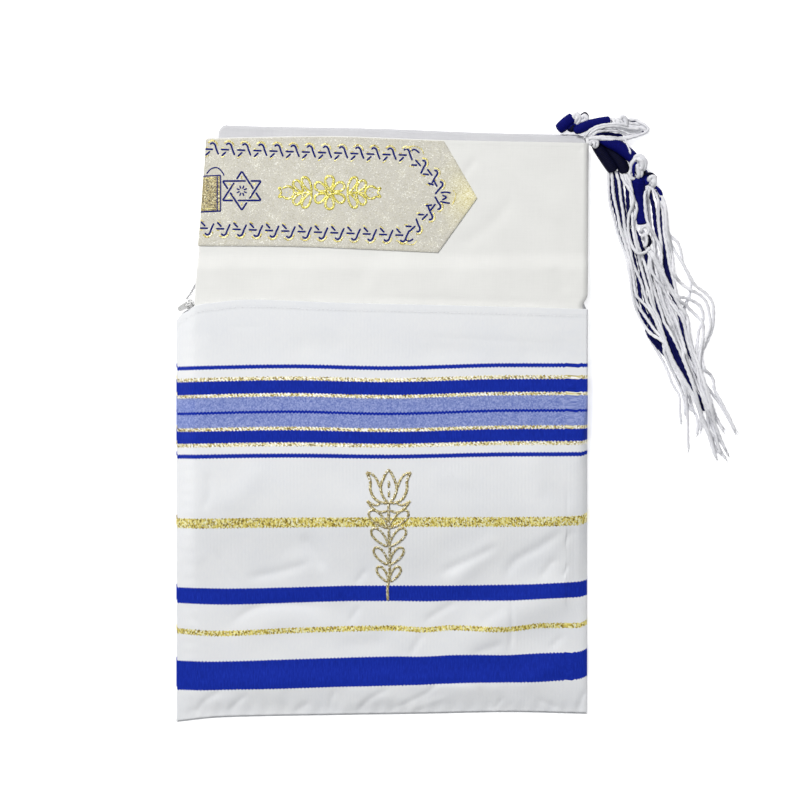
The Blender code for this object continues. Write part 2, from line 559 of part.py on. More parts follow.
def on_pull(s, w, t):
    """Along, across and through the pull, in the row's axes about its own."""
    along = -s * math.cos(PULL_TILT) - t * math.sin(PULL_TILT)
    up = -s * math.sin(PULL_TILT) + t * math.cos(PULL_TILT)
    p = turn @ Vector((along, w, 0.0))
    return (p.x, p.y, up)


points = [on_pull(s, w, t) for t in (-BAR, BAR) for s, w in outline]
faces = [tuple(range(n))[::-1], tuple(range(n, 2 * n))]
faces += [(k, (k + 1) % n, n + (k + 1) % n, n + k) for k in range(n)]
pull = piece("zip_pull", points, faces, material("pull_nickel", (0.62, 0.62, 0.62), 0.25, 1.0))
hole = [(s, w) for s in (BAR, 2.35) for w in (-1.25, 1.25)]
points = [on_pull(s, w, t) for t in (-2.0, 2.0) for s, w in hole]
cutter = piece("zip_pull_hole", points, [(0, 1, 3, 2), (4, 6, 7, 5), (0, 4, 5, 1), (2, 3, 7, 6), (0, 2, 6, 4), (1, 5, 7, 3)],
               metal)
cut = pull.modifiers.new("hole", "BOOLEAN")
cut.operation = "DIFFERENCE"
cut.solver = "EXACT"
cut.object = cutter
cutter.hide_render = True
cutter.display_type = "WIRE"
where = Vector(on_slider(AXIS_S, 0.0, AXIS_Z)) * MM
pull.location = where
cutter.location = where

for ob in bpy.data.objects:
    if ob.type == "MESH" and ob.name.startswith("tassel"):
        ob.data.shade_smooth()
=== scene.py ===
"""A folded prayer shawl standing out of its open zip bag: the finish of every
surface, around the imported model. Worked out in millimetres, built in metres.
"""
import math

import bpy
import numpy as np
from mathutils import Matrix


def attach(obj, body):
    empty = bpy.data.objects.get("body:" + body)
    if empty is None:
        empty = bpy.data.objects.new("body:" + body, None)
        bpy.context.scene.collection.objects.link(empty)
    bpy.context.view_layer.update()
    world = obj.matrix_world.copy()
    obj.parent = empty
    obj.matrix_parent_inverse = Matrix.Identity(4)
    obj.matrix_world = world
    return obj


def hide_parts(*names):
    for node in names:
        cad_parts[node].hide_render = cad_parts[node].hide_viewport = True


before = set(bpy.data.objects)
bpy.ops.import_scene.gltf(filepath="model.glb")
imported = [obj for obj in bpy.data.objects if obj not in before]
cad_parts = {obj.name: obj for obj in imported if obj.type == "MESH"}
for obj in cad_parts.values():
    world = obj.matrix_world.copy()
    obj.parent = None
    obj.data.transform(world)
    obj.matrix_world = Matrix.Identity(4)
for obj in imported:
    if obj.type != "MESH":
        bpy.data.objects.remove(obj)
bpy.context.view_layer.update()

MM = 0.001
BODY = "shawl_and_bag"

# ---- camera, light and floor ---------------------------------------------------
# One step of the 800 x 800 view is 0.75 mm on the object.
STEP = 0.75


def place(px, py):
    """A place of the view, as x and y on the object in mm."""
    return (px - 382.0) * STEP, (515.0 - py) * STEP


cam_data = bpy.data.cameras.new("camera")
cam_data.sensor_width = 36.0
cam_data.lens = 36.0 * 1.59 / (800 * STEP * MM)
cam_data.clip_start = 0.05
cam = bpy.data.objects.new("camera", cam_data)
cam.location = (0.0135, 0.08625, 1.6)
bpy.context.collection.objects.link(cam)
bpy.context.scene.camera = cam

scene = bpy.context.scene
scene.view_settings.view_transform = "Standard"
scene.view_settings.look = "None"
scene.view_settings.exposure = 0.0
scene.view_settings.gamma = 1.0

world = bpy.data.worlds.new("world")
world.use_nodes = True
world.node_tree.nodes["Background"].inputs["Color"].default_value = (0.97, 0.985, 1.0, 1.0)
world.node_tree.nodes["Background"].inputs["Strength"].default_value = 0.245
scene.world = world


def area_light(name, at, aim, size, power, colour=(1.0, 1.0, 1.0)):
    data = bpy.data.lights.new(name, "AREA")
    data.shape = "DISK"
    data.size = size
    data.energy = power
    data.color = colour
    lamp = bpy.data.objects.new(name, data)
    from mathutils import Vector
    lamp.location = at
    lamp.rotation_euler = (Vector(aim) - Vector(at)).to_track_quat("-Z", "Y").to_euler()
    bpy.context.collection.objects.link(lamp)
    return lamp


area_light("key", (-1.40, 2.20, 3.10), (0.0, 0.05, 0.0), 1.3, 110.0, (1.0, 0.99, 0.975))
area_light("fill", (-0.08, 0.20, 0.95), (-0.06, 0.17, 0.0), 0.55, 2.1, (0.98, 0.99, 1.0))


def linear(r, g, b):
    """Display colour, 0 to 255, as scene colour."""
    out = []
    for c in (r, g, b):
        c /= 255.0
        out.append(c / 12.92 if c <= 0.04045 else ((c + 0.055) / 1.055) ** 2.4)
    return (*out, 1.0)


# ---- materials -----------------------------------------------------------------
class Finish:
    """A material and short ways to add its nodes."""

    def __init__(self, name, rough=0.8, metal=0.0, sheen=0.0, specular=0.5):
        self.mat = bpy.data.materials.new(name)
        self.mat.use_nodes = True
        self.tree = self.mat.node_tree
        self.shader = self.tree.nodes["Principled BSDF"]
        self.shader.inputs["Roughness"].default_value = rough
        self.shader.inputs["Metallic"].default_value = metal
        self.shader.inputs["Sheen Weight"].default_value = sheen
        self.shader.inputs["Sheen Roughness"].default_value = 0.4
        self.shader.inputs["Specular IOR Level"].default_value = specular

    def put(self, value, socket):
        if isinstance(value, bpy.types.NodeSocket):
            self.tree.links.new(value, socket)
        elif value is not None:
            socket.default_value = value

    def math(self, kind, a, b=None, c=None, clamp=False):
        node = self.tree.nodes.new("ShaderNodeMath")
        node.operation = kind
        node.use_clamp = clamp
        for value, socket in zip((a, b, c), node.inputs):
            self.put(value, socket)
        return node.outputs[0]

    def mix(self, share, a, b, kind="MIX"):
        node = self.tree.nodes.new("ShaderNodeMix")
        node.data_type = "RGBA"
        node.blend_type = kind
        self.put(share, node.inputs[0])
        self.put(a, node.inputs[6])
        self.put(b, node.inputs[7])
        return node.outputs[2]

    def place(self, attribute="cloth"):
        """x, y, z of the attribute, in mm of the cloth."""
        node = self.tree.nodes.new("ShaderNodeAttribute")
        node.attribute_name = attribute
        apart = self.tree.nodes.new("ShaderNodeSeparateXYZ")
        self.tree.links.new(node.outputs["Vector"], apart.inputs[0])
        return apart.outputs[0], apart.outputs[1], apart.outputs[2]

    def vector(self, x, y, z=0.0):
        node = self.tree.nodes.new("ShaderNodeCombineXYZ")
        for value, socket in zip((x, y, z), node.inputs):
            self.put(value, socket)
        return node.outputs[0]

    def noise(self, vector, scale=1.0, detail=2.0, rough=0.5, colour=False):
        node = self.tree.nodes.new("ShaderNodeTexNoise")
        node.inputs["Scale"].default_value = scale
        node.inputs["Detail"].default_value = detail
        node.inputs["Roughness"].default_value = rough
        self.put(vector, node.inputs["Vector"])
        return node.outputs["Color" if colour else "Fac"]

    def cells(self, vector, scale=1.0, random=1.0):
        """(random number of the cell, distance to its middle)"""
        node = self.tree.nodes.new("ShaderNodeTexVoronoi")
        node.inputs["Scale"].default_value = scale
        node.inputs["Randomness"].default_value = random
        self.put(vector, node.inputs["Vector"])
        apart = self.tree.nodes.new("ShaderNodeSeparateColor")
        self.tree.links.new(node.outputs["Color"], apart.inputs[0])
        return apart.outputs[0], node.outputs["Distance"]

    def ramp(self, value, stops, kind="LINEAR"):
        node = self.tree.nodes.new("ShaderNodeValToRGB")
        node.color_ramp.interpolation = kind
        points = node.color_ramp.elements
        while len(points) > 1:
            points.remove(points[-1])
        points[0].position, points[0].color = stops[0]
        for at, colour in stops[1:]:
            point = points.new(at)
            point.color = colour
        self.put(value, node.inputs[0])
        return node.outputs[0]

    def split(self, colour):
        node = self.tree.nodes.new("ShaderNodeSeparateColor")
        self.put(colour, node.inputs[0])
        return node.outputs[0], node.outputs[1], node.outputs[2]

    def bump(self, height, distance, strength=1.0):
        node = self.tree.nodes.new("ShaderNodeBump")
        node.inputs["Strength"].default_value = strength
        node.inputs["Distance"].default_value = distance
        self.put(height, node.inputs["Height"])
        self.tree.links.new(node.outputs[0], self.shader.inputs["Normal"])

    def colour(self, value):
        self.put(value, self.shader.inputs["Base Color"])


def wave(f, x, pitch):
    """0 to 1 and back, once for every pitch."""
    return f.math("MULTIPLY_ADD", f.math("SINE", f.math("MULTIPLY", x, 2 * math.pi / pitch)), 0.5, 0.5)


# Gold of the metal yarn; its palest stops, near white, are painted highlights.
GOLD_AND_PAINTED_HIGHLIGHTS = [(0.0, linear(126, 104, 42)), (0.12, linear(184, 161, 68)), (0.30, linear(228, 210, 108)),
        (0.52, linear(252, 240, 148)), (0.72, linear(255, 251, 190)), (0.88, linear(255, 255, 228))]


def lurex(f, u, v, wide=0.65, high=0.45, stops=GOLD_AND_PAINTED_HIGHLIGHTS, tilt=0.25):
    """Glitter of flat metal yarn: a colour for each float, brighter in patches."""
    slant = f.math("ADD", u, f.math("MULTIPLY", v, tilt))
    cell, middle = f.cells(f.vector(f.math("MULTIPLY", slant, 1 / wide), f.math("MULTIPLY", v, 1 / high)))
    patch = f.noise(f.vector(u, v), 0.16, 2.0)
    value = f.math("ADD", cell, f.math("MULTIPLY", f.math("SUBTRACT", patch, 0.5), 0.42), clamp=True)
    return f.ramp(value, stops, "CONSTANT"), cell, middle


# Paler gold; its top stops, up to white, are painted highlights.
PALE_GOLD = [(0.0, linear(120, 104, 52)), (0.13, linear(180, 164, 98)), (0.29, linear(220, 208, 152)),
             (0.50, linear(242, 236, 202)), (0.70, linear(254, 252, 238)), (0.88, linear(255, 255, 255))]


# Stripes of the bag cloth, from the bottom: lower and upper edge in mm.
STRIPES = {"blue": [(-127.2, -106.0), (-64.8, -53.2), (42.4, 45.4), (53.4, 62.8), (74.9, 76.9), (89.7, 99.8), (108.6, 111.5)],
           "gold": [(-87.2, -83.3), (-8.7, -1.5), (50.8, 53.5), (62.5, 65.0), (87.4, 89.9), (99.7, 102.5)],
           "pale": [(63.9, 87.7)]}


def bag_finish():
    f = Finish("bag_cloth_striped", rough=0.85, sheen=0.03, specular=0.12)
    u, v, _ = f.place()
    rib = 2.62
    teeth = f.math("PINGPONG", u, rib / 2)
    ragged = f.noise(f.vector(f.math("MULTIPLY", u, 0.9), f.math("MULTIPLY", v, 0.05)), 1.0, 1.0)
    edge = f.math("ADD", v, f.math("ADD", f.math("MULTIPLY", teeth, 0.62),
                                   f.math("MULTIPLY", f.math("SUBTRACT", ragged, 0.5), 0.45)))
    masks = {}
    for yarn, bands in STRIPES.items():
        mask = None
        for low, high in bands:
            band = f.math("COMPARE", edge, (low + high) / 2 + 0.41, (high - low) / 2)
            mask = band if mask is None else f.math("ADD", mask, band)
        masks[yarn] = mask
    blue, gold, pale = masks["blue"], masks["gold"], masks["pale"]
    # white ground: faintly uneven
    cloud = f.noise(f.vector(u, v), 0.03, 3.0)
    fine = f.noise(f.vector(f.math("MULTIPLY", u, 0.75), f.math("MULTIPLY", v, 0.25)), 1.0, 2.0)
    white = f.ramp(f.math("ADD", f.math("MULTIPLY", cloud, 0.6), f.math("MULTIPLY", fine, 0.4)),
                   [(0.3, linear(229, 231, 235)), (0.7, linear(236, 237, 238))])
    # blue: weft-faced rep, with light and dark upright streaks
    streak = f.noise(f.vector(f.math("MULTIPLY", u, 1.0), f.math("MULTIPLY", v, 0.16)), 1.0, 3.0, 0.7)
    royal = f.ramp(streak, [(0.28, linear(11, 36, 141)), (0.5, linear(16, 42, 160)), (0.74, linear(24, 52, 176))])
    # chambray: white warp through blue weft, mottled
    fleck, _ = f.cells(f.vector(f.math("MULTIPLY", u, 1 / 0.8), f.math("MULTIPLY", v, 1 / 0.9)))
    tint = f.noise(f.vector(f.math("MULTIPLY", u, 0.5), f.math("MULTIPLY", v, 0.05)), 1.0, 3.0, 0.7)
    mottle = f.math("ADD", f.math("MULTIPLY", fleck, 0.62), f.math("MULTIPLY", tint, 0.38))
    chambray = f.ramp(mottle, [(0.2, linear(103, 120, 188)), (0.48, linear(128, 143, 200)), (0.8, linear(158, 169, 217))])
    # upright floats of the metal yarn, held down between the ribs, where painted shade dulls them
    glitter, cell, middle = lurex(f, u, v, 0.85, 1.15, GOLD_AND_PAINTED_HIGHLIGHTS, 0.12)
    light, _, _ = lurex(f, u, v, 0.9, 0.9, PALE_GOLD, 0.45)
    upper = f.math("GREATER_THAN", v, 40.0)
    glitter = f.mix(upper, glitter, light)
    binding_and_groove_shade = wave(f, u, rib)
    # Painted shade: the gold is dulled towards dark gold in the grooves between the ribs.
    glitter = f.mix(f.math("MULTIPLY", f.math("SUBTRACT", 1.0, binding_and_groove_shade), 0.25), glitter, linear(172, 158, 96), "MIX")
    colour = f.mix(pale, white, chambray)
    colour = f.mix(blue, colour, royal)
    colour = f.mix(gold, colour, glitter)
    f.colour(colour)
    f.put(f.math("MULTIPLY", gold, 0.25), f.shader.inputs["Metallic"])
    f.put(f.math("SUBTRACT", 0.78, f.math("MULTIPLY", gold, 0.40)), f.shader.inputs["Roughness"])
    ribs = wave(f, u, rib)
    picks = wave(f, v, 0.55)
    weave = f.math("ADD", f.math("MULTIPLY", ribs, 0.42), f.math("MULTIPLY", f.math("MULTIPLY", ribs, picks), 0.5))
    weave = f.math("ADD", weave, f.math("MULTIPLY", fine, 0.6))
    weave = f.math("ADD", weave, f.math("MULTIPLY", gold, f.math("ADD", f.math("MULTIPLY", cell, 0.9), 0.8)))
    f.bump(weave, 0.00010, 0.55)
    return f.mat


def plain_cloth(name, low, high, pitch=0.6, deep=0.00006, rough=0.78, sheen=0.15):
    """Fine plain weave with a soft cloudy unevenness."""
    f = Finish(name, rough=rough, sheen=sheen, specular=0.35)
    u, v, _ = f.place()
    cloud = f.noise(f.vector(u, v), 0.035, 3.0)
    slub = f.noise(f.vector(f.math("MULTIPLY", u, 0.06), f.math("MULTIPLY", v, 1.2)), 1.0, 2.0)
    slub2 = f.noise(f.vector(f.math("MULTIPLY", u, 1.2), f.math("MULTIPLY", v, 0.06)), 1.0, 2.0)
    value = f.math("ADD", f.math("MULTIPLY", cloud, 0.5), f.math("MULTIPLY", f.math("ADD", slub, slub2), 0.25))
    f.colour(f.ramp(value, [(0.32, linear(*low)), (0.68, linear(*high))]))
    weave = f.math("MULTIPLY", wave(f, u, pitch), wave(f, v, pitch))
    weave = f.math("ADD", weave, f.math("MULTIPLY", f.math("ADD", slub, slub2), 0.5))
    f.bump(weave, deep, 0.5)
    return f.mat


# ---- shapes ----------------------------------------------------------------------
def table(*rows):
    """Rows of numbers as a smooth function of the first column, for arrays."""
    rows = np.array(rows, float)
    xs = rows[:, 0]
    last = len(rows) - 1

    def at(x, column=1):
        x = np.clip(np.asarray(x, float), xs[0], xs[-1])
        y = rows[:, column]
        i = np.clip(np.searchsorted(xs, x, side="left") - 1, 0, last - 1)
        h = xs[i + 1] - xs[i]
        t = (x - xs[i]) / h
        chord = (y[i + 1] - y[i]) / h
        before, after = np.maximum(i - 1, 0), np.minimum(i + 2, last)
        m0 = (y[i + 1] - y[before]) / (xs[i + 1] - xs[before])
        m1 = (y[after] - y[i]) / (xs[after] - xs[i])
        m0 = np.where(m0 * chord <= 0, 0.0, np.sign(chord) * np.minimum(abs(m0), 2.5 * abs(chord)))
        m1 = np.where(m1 * chord <= 0, 0.0, np.sign(chord) * np.minimum(abs(m1), 2.5 * abs(chord)))
        return ((2 * t**3 - 3 * t**2 + 1) * y[i] + (t**3 - 2 * t**2 + t) * h * m0
                + (3 * t**2 - 2 * t**3) * y[i + 1] + (t**3 - t**2) * h * m1)
    return at


def ease(t):
    t = np.clip(t, 0.0, 1.0)
    return t * t * (3 - 2 * t)


def unit(v):
    return v / np.maximum(np.linalg.norm(v, axis=-1, keepdims=True), 1e-12)


def mesh_object(name, points, faces, mats, face_mats=None, cloth=None, smooth=True):
    """A mesh piece from points in mm."""
    mesh = bpy.data.meshes.new(name)
    mesh.from_pydata((np.asarray(points) * MM).tolist(), [], faces)
    for mat in (mats if isinstance(mats, (list, tuple)) else [mats]):
        mesh.materials.append(mat)
    if face_mats is not None:
        mesh.polygons.foreach_set("material_index", np.asarray(face_mats, np.int32))
    if cloth is not None:
        mesh.attributes.new("cloth", "FLOAT_VECTOR", "POINT").data.foreach_set("vector", np.asarray(cloth, float).ravel())
    if smooth:
        mesh.shade_smooth()
    mesh.update()
    obj = bpy.data.objects.new(name, mesh)
    bpy.context.collection.objects.link(obj)
    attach(obj, BODY)
    return obj


def grid_normals(P):
    a = np.empty_like(P)
    b = np.empty_like(P)
    a[1:-1], a[0], a[-1] = P[2:] - P[:-2], P[1] - P[0], P[-1] - P[-2]
    b[:, 1:-1], b[:, 0], b[:, -1] = P[:, 2:] - P[:, :-2], P[:, 1] - P[:, 0], P[:, -1] - P[:, -2]
    return unit(np.cross(b, a))


def rim_of(rows, cols):
    return ([(0, j) for j in range(cols)] + [(i, cols - 1) for i in range(1, rows)]
            + [(rows - 1, j) for j in range(cols - 2, -1, -1)] + [(i, 0) for i in range(rows - 2, 0, -1)])


def shell(P, thick, k=2, cloth=None, turns=3):
    """A closed cloth wall under its outer face P (rows x cols x 3): rounded
    rims, and an inner face on every k-th row and column. Returns points, faces
    and the cloth places of the points."""
    P = np.array(P, float)
    cloth = P.copy() if cloth is None else np.array(cloth, float)
    for axis in (0, 1):
        for _ in range((P.shape[axis] - 1) % k):
            P = np.delete(P, P.shape[axis] // 2, axis=axis)
            cloth = np.delete(cloth, cloth.shape[axis] // 2, axis=axis)
    rows, cols = P.shape[:2]
    N = grid_normals(P)
    rim = rim_of(rows, cols)
    ri, rj = np.array([c[0] for c in rim]), np.array([c[1] for c in rim])
    ii = np.clip(ri, 1, rows - 2)
    jj = np.clip(rj, 1, cols - 2)
    out = P[ri, rj] - P[ii, jj]
    n = N[ri, rj]
    out -= n * (out * n).sum(1, keepdims=True)
    out = unit(out)
    P[ri, rj] -= out * min(thick / 2, 0.45)
    edge = P[ri, rj]
    if cloth.shape[-1] == 2:
        cloth = np.concatenate([cloth, np.zeros((*cloth.shape[:2], 1))], axis=2)
    points = [P.reshape(-1, 3)]
    places = [cloth.reshape(-1, 3)]
    idx = np.arange(rows * cols).reshape(rows, cols)
    faces = np.stack([idx[:-1, :-1], idx[:-1, 1:], idx[1:, 1:], idx[1:, :-1]], axis=-1).reshape(-1, 4).tolist()
    rings = [idx[ri, rj]]
    count = rows * cols
    for m in range(1, turns + 1):
        angle = math.pi * m / (turns + 1)
        points.append(edge - n * (thick / 2) * (1 - math.cos(angle)) + out * min(thick / 2, 0.45) * math.sin(angle))
        places.append(cloth[ri, rj])
        rings.append(np.arange(count, count + len(rim)))
        count += len(rim)
    for a, b in zip(rings, rings[1:]):
        a2, b2 = np.roll(a, -1), np.roll(b, -1)
        faces += np.stack([a, b, b2, a2], axis=1).tolist()
    inner = (P - N * thick)[::k, ::k]
    R, C = inner.shape[:2]
    points.append(inner.reshape(-1, 3))
    places.append(cloth[::k, ::k].reshape(-1, 3))
    idx = np.arange(count, count + R * C).reshape(R, C)
    faces += np.stack([idx[:-1, :-1], idx[1:, :-1], idx[1:, 1:], idx[:-1, 1:]], axis=-1).reshape(-1, 4).tolist()
    low = rim_of(R, C)
    low = [int(idx[i, j]) for i, j in low]
    top = rings[-1].tolist()
    whole = len(top)
    for m in range(len(low)):
        strip = [top[(m * k + q) % whole] for q in range(k + 1)]
        faces.append([strip[0], low[m], low[(m + 1) % len(low)]] + strip[:0:-1])
    return np.concatenate(points), faces, np.concatenate(places)


class Pile:
    """Several closed meshes gathered into one piece."""

    def __init__(self):
        self.points, self.faces, self.places, self.mats, self.count = [], [], [], [], 0

    def add(self, points, faces, places=None, mat=0):
        points = np.asarray(points, float)
        self.points.append(points)
        self.faces += [[q + self.count for q in face] for face in faces]
        self.mats += [mat] * len(faces)
        self.places.append(points if places is None else np.asarray(places, float))
        self.count += len(points)

    def make(self, name, mats, slot=None, smooth=True):
        return mesh_object(name, np.concatenate(self.points), self.faces, mats, self.mats,
                           np.concatenate(self.places), smooth)


def curve_through(points, step):
    """Points at even steps along a smooth curve through the given ones."""
    p = np.asarray(points, float)
    if len(p) == 2:
        dense = p[0] + (p[1] - p[0]) * np.linspace(0, 1, 24)[:, None]
    else:
        q = np.vstack([2 * p[0] - p[1], p, 2 * p[-1] - p[-2]])
        dense = []
        for i in range(len(p) - 1):
            a, b, c, d = q[i:i + 4]
            ta = max(np.linalg.norm(b - a), 1e-6) ** 0.5
            tb = max(np.linalg.norm(c - b), 1e-6) ** 0.5
            tc = max(np.linalg.norm(d - c), 1e-6) ** 0.5
            t = np.linspace(0, 1, 16, endpoint=False)[:, None]
            m0 = (b - a) / ta * tb
            m0 = ((b - a) / ta - (c - a) / (ta + tb) + (c - b) / tb) * tb
            m1 = ((c - b) / tb - (d - b) / (tb + tc) + (d - c) / tc) * tb
            dense.append((2 * t**3 - 3 * t**2 + 1) * b + (t**3 - 2 * t**2 + t) * m0
                         + (3 * t**2 - 2 * t**3) * c + (t**3 - t**2) * m1)
        dense = np.vstack(dense + [p[-1:]])
    run = np.r_[0, np.cumsum(np.linalg.norm(np.diff(dense, axis=0), axis=1))]
    n = max(int(round(run[-1] / step)), 2) + 1
    at = np.linspace(0, run[-1], n)
    return np.stack([np.interp(at, run, dense[:, c]) for c in range(dense.shape[1])], axis=1), run[-1]


def frames(path, closed=False):
    """Side and up vectors carried along a path without twist."""
    if closed:
        tangent = unit(np.roll(path, -1, 0) - np.roll(path, 1, 0))
    else:
        tangent = unit(np.gradient(path, axis=0))
    start = np.array([0.0, 0.0, 1.0])
    if abs(tangent[0] @ start) > 0.9:
        start = np.array([1.0, 0.0, 0.0])
    up = np.empty_like(path)
    u = start - tangent[0] * (start @ tangent[0])
    up[0] = u / np.linalg.norm(u)
    for i in range(1, len(path)):
        u = up[i - 1] - tangent[i] * (up[i - 1] @ tangent[i])
        up[i] = u / max(np.linalg.norm(u), 1e-9)
    if closed:      # spread what is left over along the loop
        last = up[-1] - tangent[0] * (up[-1] @ tangent[0])
        last /= np.linalg.norm(last)
        side0 = np.cross(tangent[0], up[0])
        turn = math.atan2(last @ side0, last @ up[0])
        ang = -turn * np.arange(len(path)) / len(path)
        side = np.cross(tangent, up)
        up = up * np.cos(ang)[:, None] + side * np.sin(ang)[:, None]
    return np.cross(tangent, up), up


def tube(path, radius, sides=10, closed=False, squash=1.0):
    """A tube along a path. radius is a number, an array along the path, or a
    function of the place along (rows) and round (columns)."""
    path = np.asarray(path, float)
    n = len(path)
    side, up = frames(path, closed)
    angle = 2 * np.pi * np.arange(sides) / sides
    if callable(radius):
        r = radius(np.arange(n)[:, None], angle[None, :])
    else:
        r = np.broadcast_to(np.asarray(radius, float).reshape(-1, 1), (n, sides)) if np.ndim(radius) else np.full((n, sides), float(radius))
    points = (path[:, None, :] + side[:, None, :] * (r * np.cos(angle))[..., None]
              + up[:, None, :] * (r * np.sin(angle) * squash)[..., None]).reshape(-1, 3)
    idx = np.arange(n * sides).reshape(n, sides)
    a = idx if closed else idx[:-1]
    b = np.roll(idx, -1, 0) if closed else idx[1:]
    faces = np.stack([a, np.roll(a, -1, 1), np.roll(b, -1, 1), b], axis=-1).reshape(-1, 4).tolist()
    if not closed:
        faces.append(idx[0][::-1].tolist())
        faces.append(idx[-1].tolist())
    return points, faces


def strokes_depth(x, y, strokes):
    """How far a list of soft troughs sinks the cloth. Each is its points in
    the view, a width and a depth in mm; a ridge has a negative depth."""
    sunk = np.zeros_like(x)
    for line, wide, deep in strokes:
        pts = np.array([place(*p) for p in line])
        path, run = curve_through(pts, max(wide * 0.6, 0.8))
        reach = 3 * wide
        near = ((x > path[:, 0].min() - reach) & (x < path[:, 0].max() + reach)
                & (y > path[:, 1].min() - reach) & (y < path[:, 1].max() + reach))
        if not near.any():
            continue
        px, py = x[near], y[near]
        best = np.full(px.shape, 1e9)
        share = np.zeros(px.shape)
        for i in range(len(path) - 1):
            a, b = path[i], path[i + 1]
            d = b - a
            t = np.clip(((px - a[0]) * d[0] + (py - a[1]) * d[1]) / (d @ d), 0, 1)
            dist = np.hypot(px - a[0] - d[0] * t, py - a[1] - d[1] * t)
            nearer = dist < best
            best = np.where(nearer, dist, best)
            share = np.where(nearer, (i + t) / (len(path) - 1), share)
        taper = ease(share / 0.3 + 0.15) * ease((1 - share) / 0.3 + 0.15)
        sunk[near] += deep * taper * np.exp(-(best / wide) ** 2)
    return sunk


def rolling(x, y, seed, sizes, high):
    """Low unevenness of lying cloth: waves of several sizes and directions."""
    rng = np.random.default_rng(seed)
    z = np.zeros_like(x)
    for size in sizes:
        for _ in range(4):
            turn = rng.uniform(0, math.pi)
            phase = rng.uniform(0, 2 * math.pi, 2)
            k = 2 * math.pi / (size * rng.uniform(0.8, 1.3))
            bend = 0.8 * np.sin(k * 0.6 * (y * math.cos(turn) - x * math.sin(turn)) + phase[1])
            z += high * (size / max(sizes)) / 4 * np.sin(k * (x * math.cos(turn) + y * math.sin(turn)) + phase[0] + bend)
    return z


# ---- sizes and outlines, as in the part's solids --------------------------------
GAP = 0.3
BAG_HALF = 154.5
BAG_CLOTH = 1.2
PACKET_LOW = 2.7
PACKET_FOOT = 8.3
TOP = 13.2
DROP_FROM, DROP_TO = 183.0, 197.0
CROWN = 1.2
LEFT_RAMP = 15.6
RIGHT_ROUND = 4.6
BAND_FOOT, BAND_HEAD, BAND_TIP = 201.8, 281.9, 238.5
SEAM_TOP = 1.2 + GAP + BAG_CLOTH
FRONT_MOUTH = table((-154.5, 147.0), (-150.8, 150.8), (-145.5, 153.0), (-139.5, 156.8),
                    (-125.3, 159.0), (-100.5, 161.3), (-34.5, 159.0), (58.5, 156.8), (154.5, 154.2))
FRONT_FOOT = table((-154.5, -156.6), (-123.0, -153.4), (-34.5, -151.5), (31.5, -150.5),
                   (96.0, -149.3), (154.5, -150.6))
BACK_MOUTH = table((-155.3, 146.5), (-150.6, 152.0), (-146.6, 154.5), (-140.3, 157.5), (-134.0, 169.0),
                   (-125.0, 178.0), (-39.0, 180.6), (58.0, 180.0), (133.5, 175.5), (148.5, 167.0), (154.0, 154.5))
SHAWL_LEFT = table((8.0, -138.4), (120.0, -138.8), (159.0, -140.3), (201.8, -137.3), (236.0, -134.3),
                   (283.0, -131.2), (296.0, -130.6))
SHAWL_RIGHT = table((8.0, 150.9), (156.6, 150.9), (165.0, 154.4), (279.0, 155.4), (296.0, 155.6))
FRONT_HEAD = table((-131.0, 282.7), (-39.0, 284.2), (43.5, 281.2), (156.0, 279.0))
BACK_HEAD = table((-123.0, 294.0), (13.5, 290.3), (156.0, 285.8))
BAG_RISE = table((-157.0, 2.8), (-149.0, 3.0), (-138.0, 4.6), (-110.0, 5.2), (-80.0, 5.6), (-52.0, 7.0),
                 (-28.0, 10.0), (-8.0, 13.4), (8.0, 15.0), (30.0, 15.2), (120.0, 15.2), (140.0, 15.9), (162.0, 16.2))
CROWN_AT = table((0.0, 0.0), (50.0, 1.0), (230.0, 1.0), (296.0, 0.35))


def settle(x, y, z):
    """Crown of the packet, and its step down to the table past the bag."""
    full = np.clip((z - PACKET_LOW) / (TOP - PACKET_LOW), 0.0, 1.3)
    crown = CROWN * np.maximum(0.0, 1 - (x / 156.0) ** 2) * CROWN_AT(y) * full
    return z + crown - PACKET_LOW * ease((y - DROP_FROM) / (DROP_TO - DROP_FROM))


# ---- the bag's front panel --------------------------------------------------------
# Creases of the slack lower half: points in the view, width, depth in mm.
BROAD = [([(462, 652), (496, 622), (548, 598), (596, 586)], 15.0, -3.4), ([(172, 690), (300, 684), (440, 686), (596, 682)], 10.5, -2.8),
         ([(446, 592), (474, 562), (506, 536)], 8.0, -1.5), ([(597, 508), (597, 550), (596, 606)], 8.0, 7.0),
         ([(214, 508), (246, 488), (262, 462)], 10.0, -1.0), ([(288, 548), (318, 572), (344, 606)], 9.0, -1.1),
         ([(336, 712), (376, 698), (424, 706)], 6.0, -1.1), ([(222, 640), (290, 620), (360, 636)], 9.0, -1.0),
         ([(510, 690), (552, 668), (594, 662)], 9.0, -1.2), ([(186, 462), (182, 520), (183, 600)], 6.0, 0.7),
         ([(340, 500), (400, 540), (440, 560)], 12.0, -0.9), ([(520, 440), (545, 500), (560, 560)], 13.0, -1.6)]
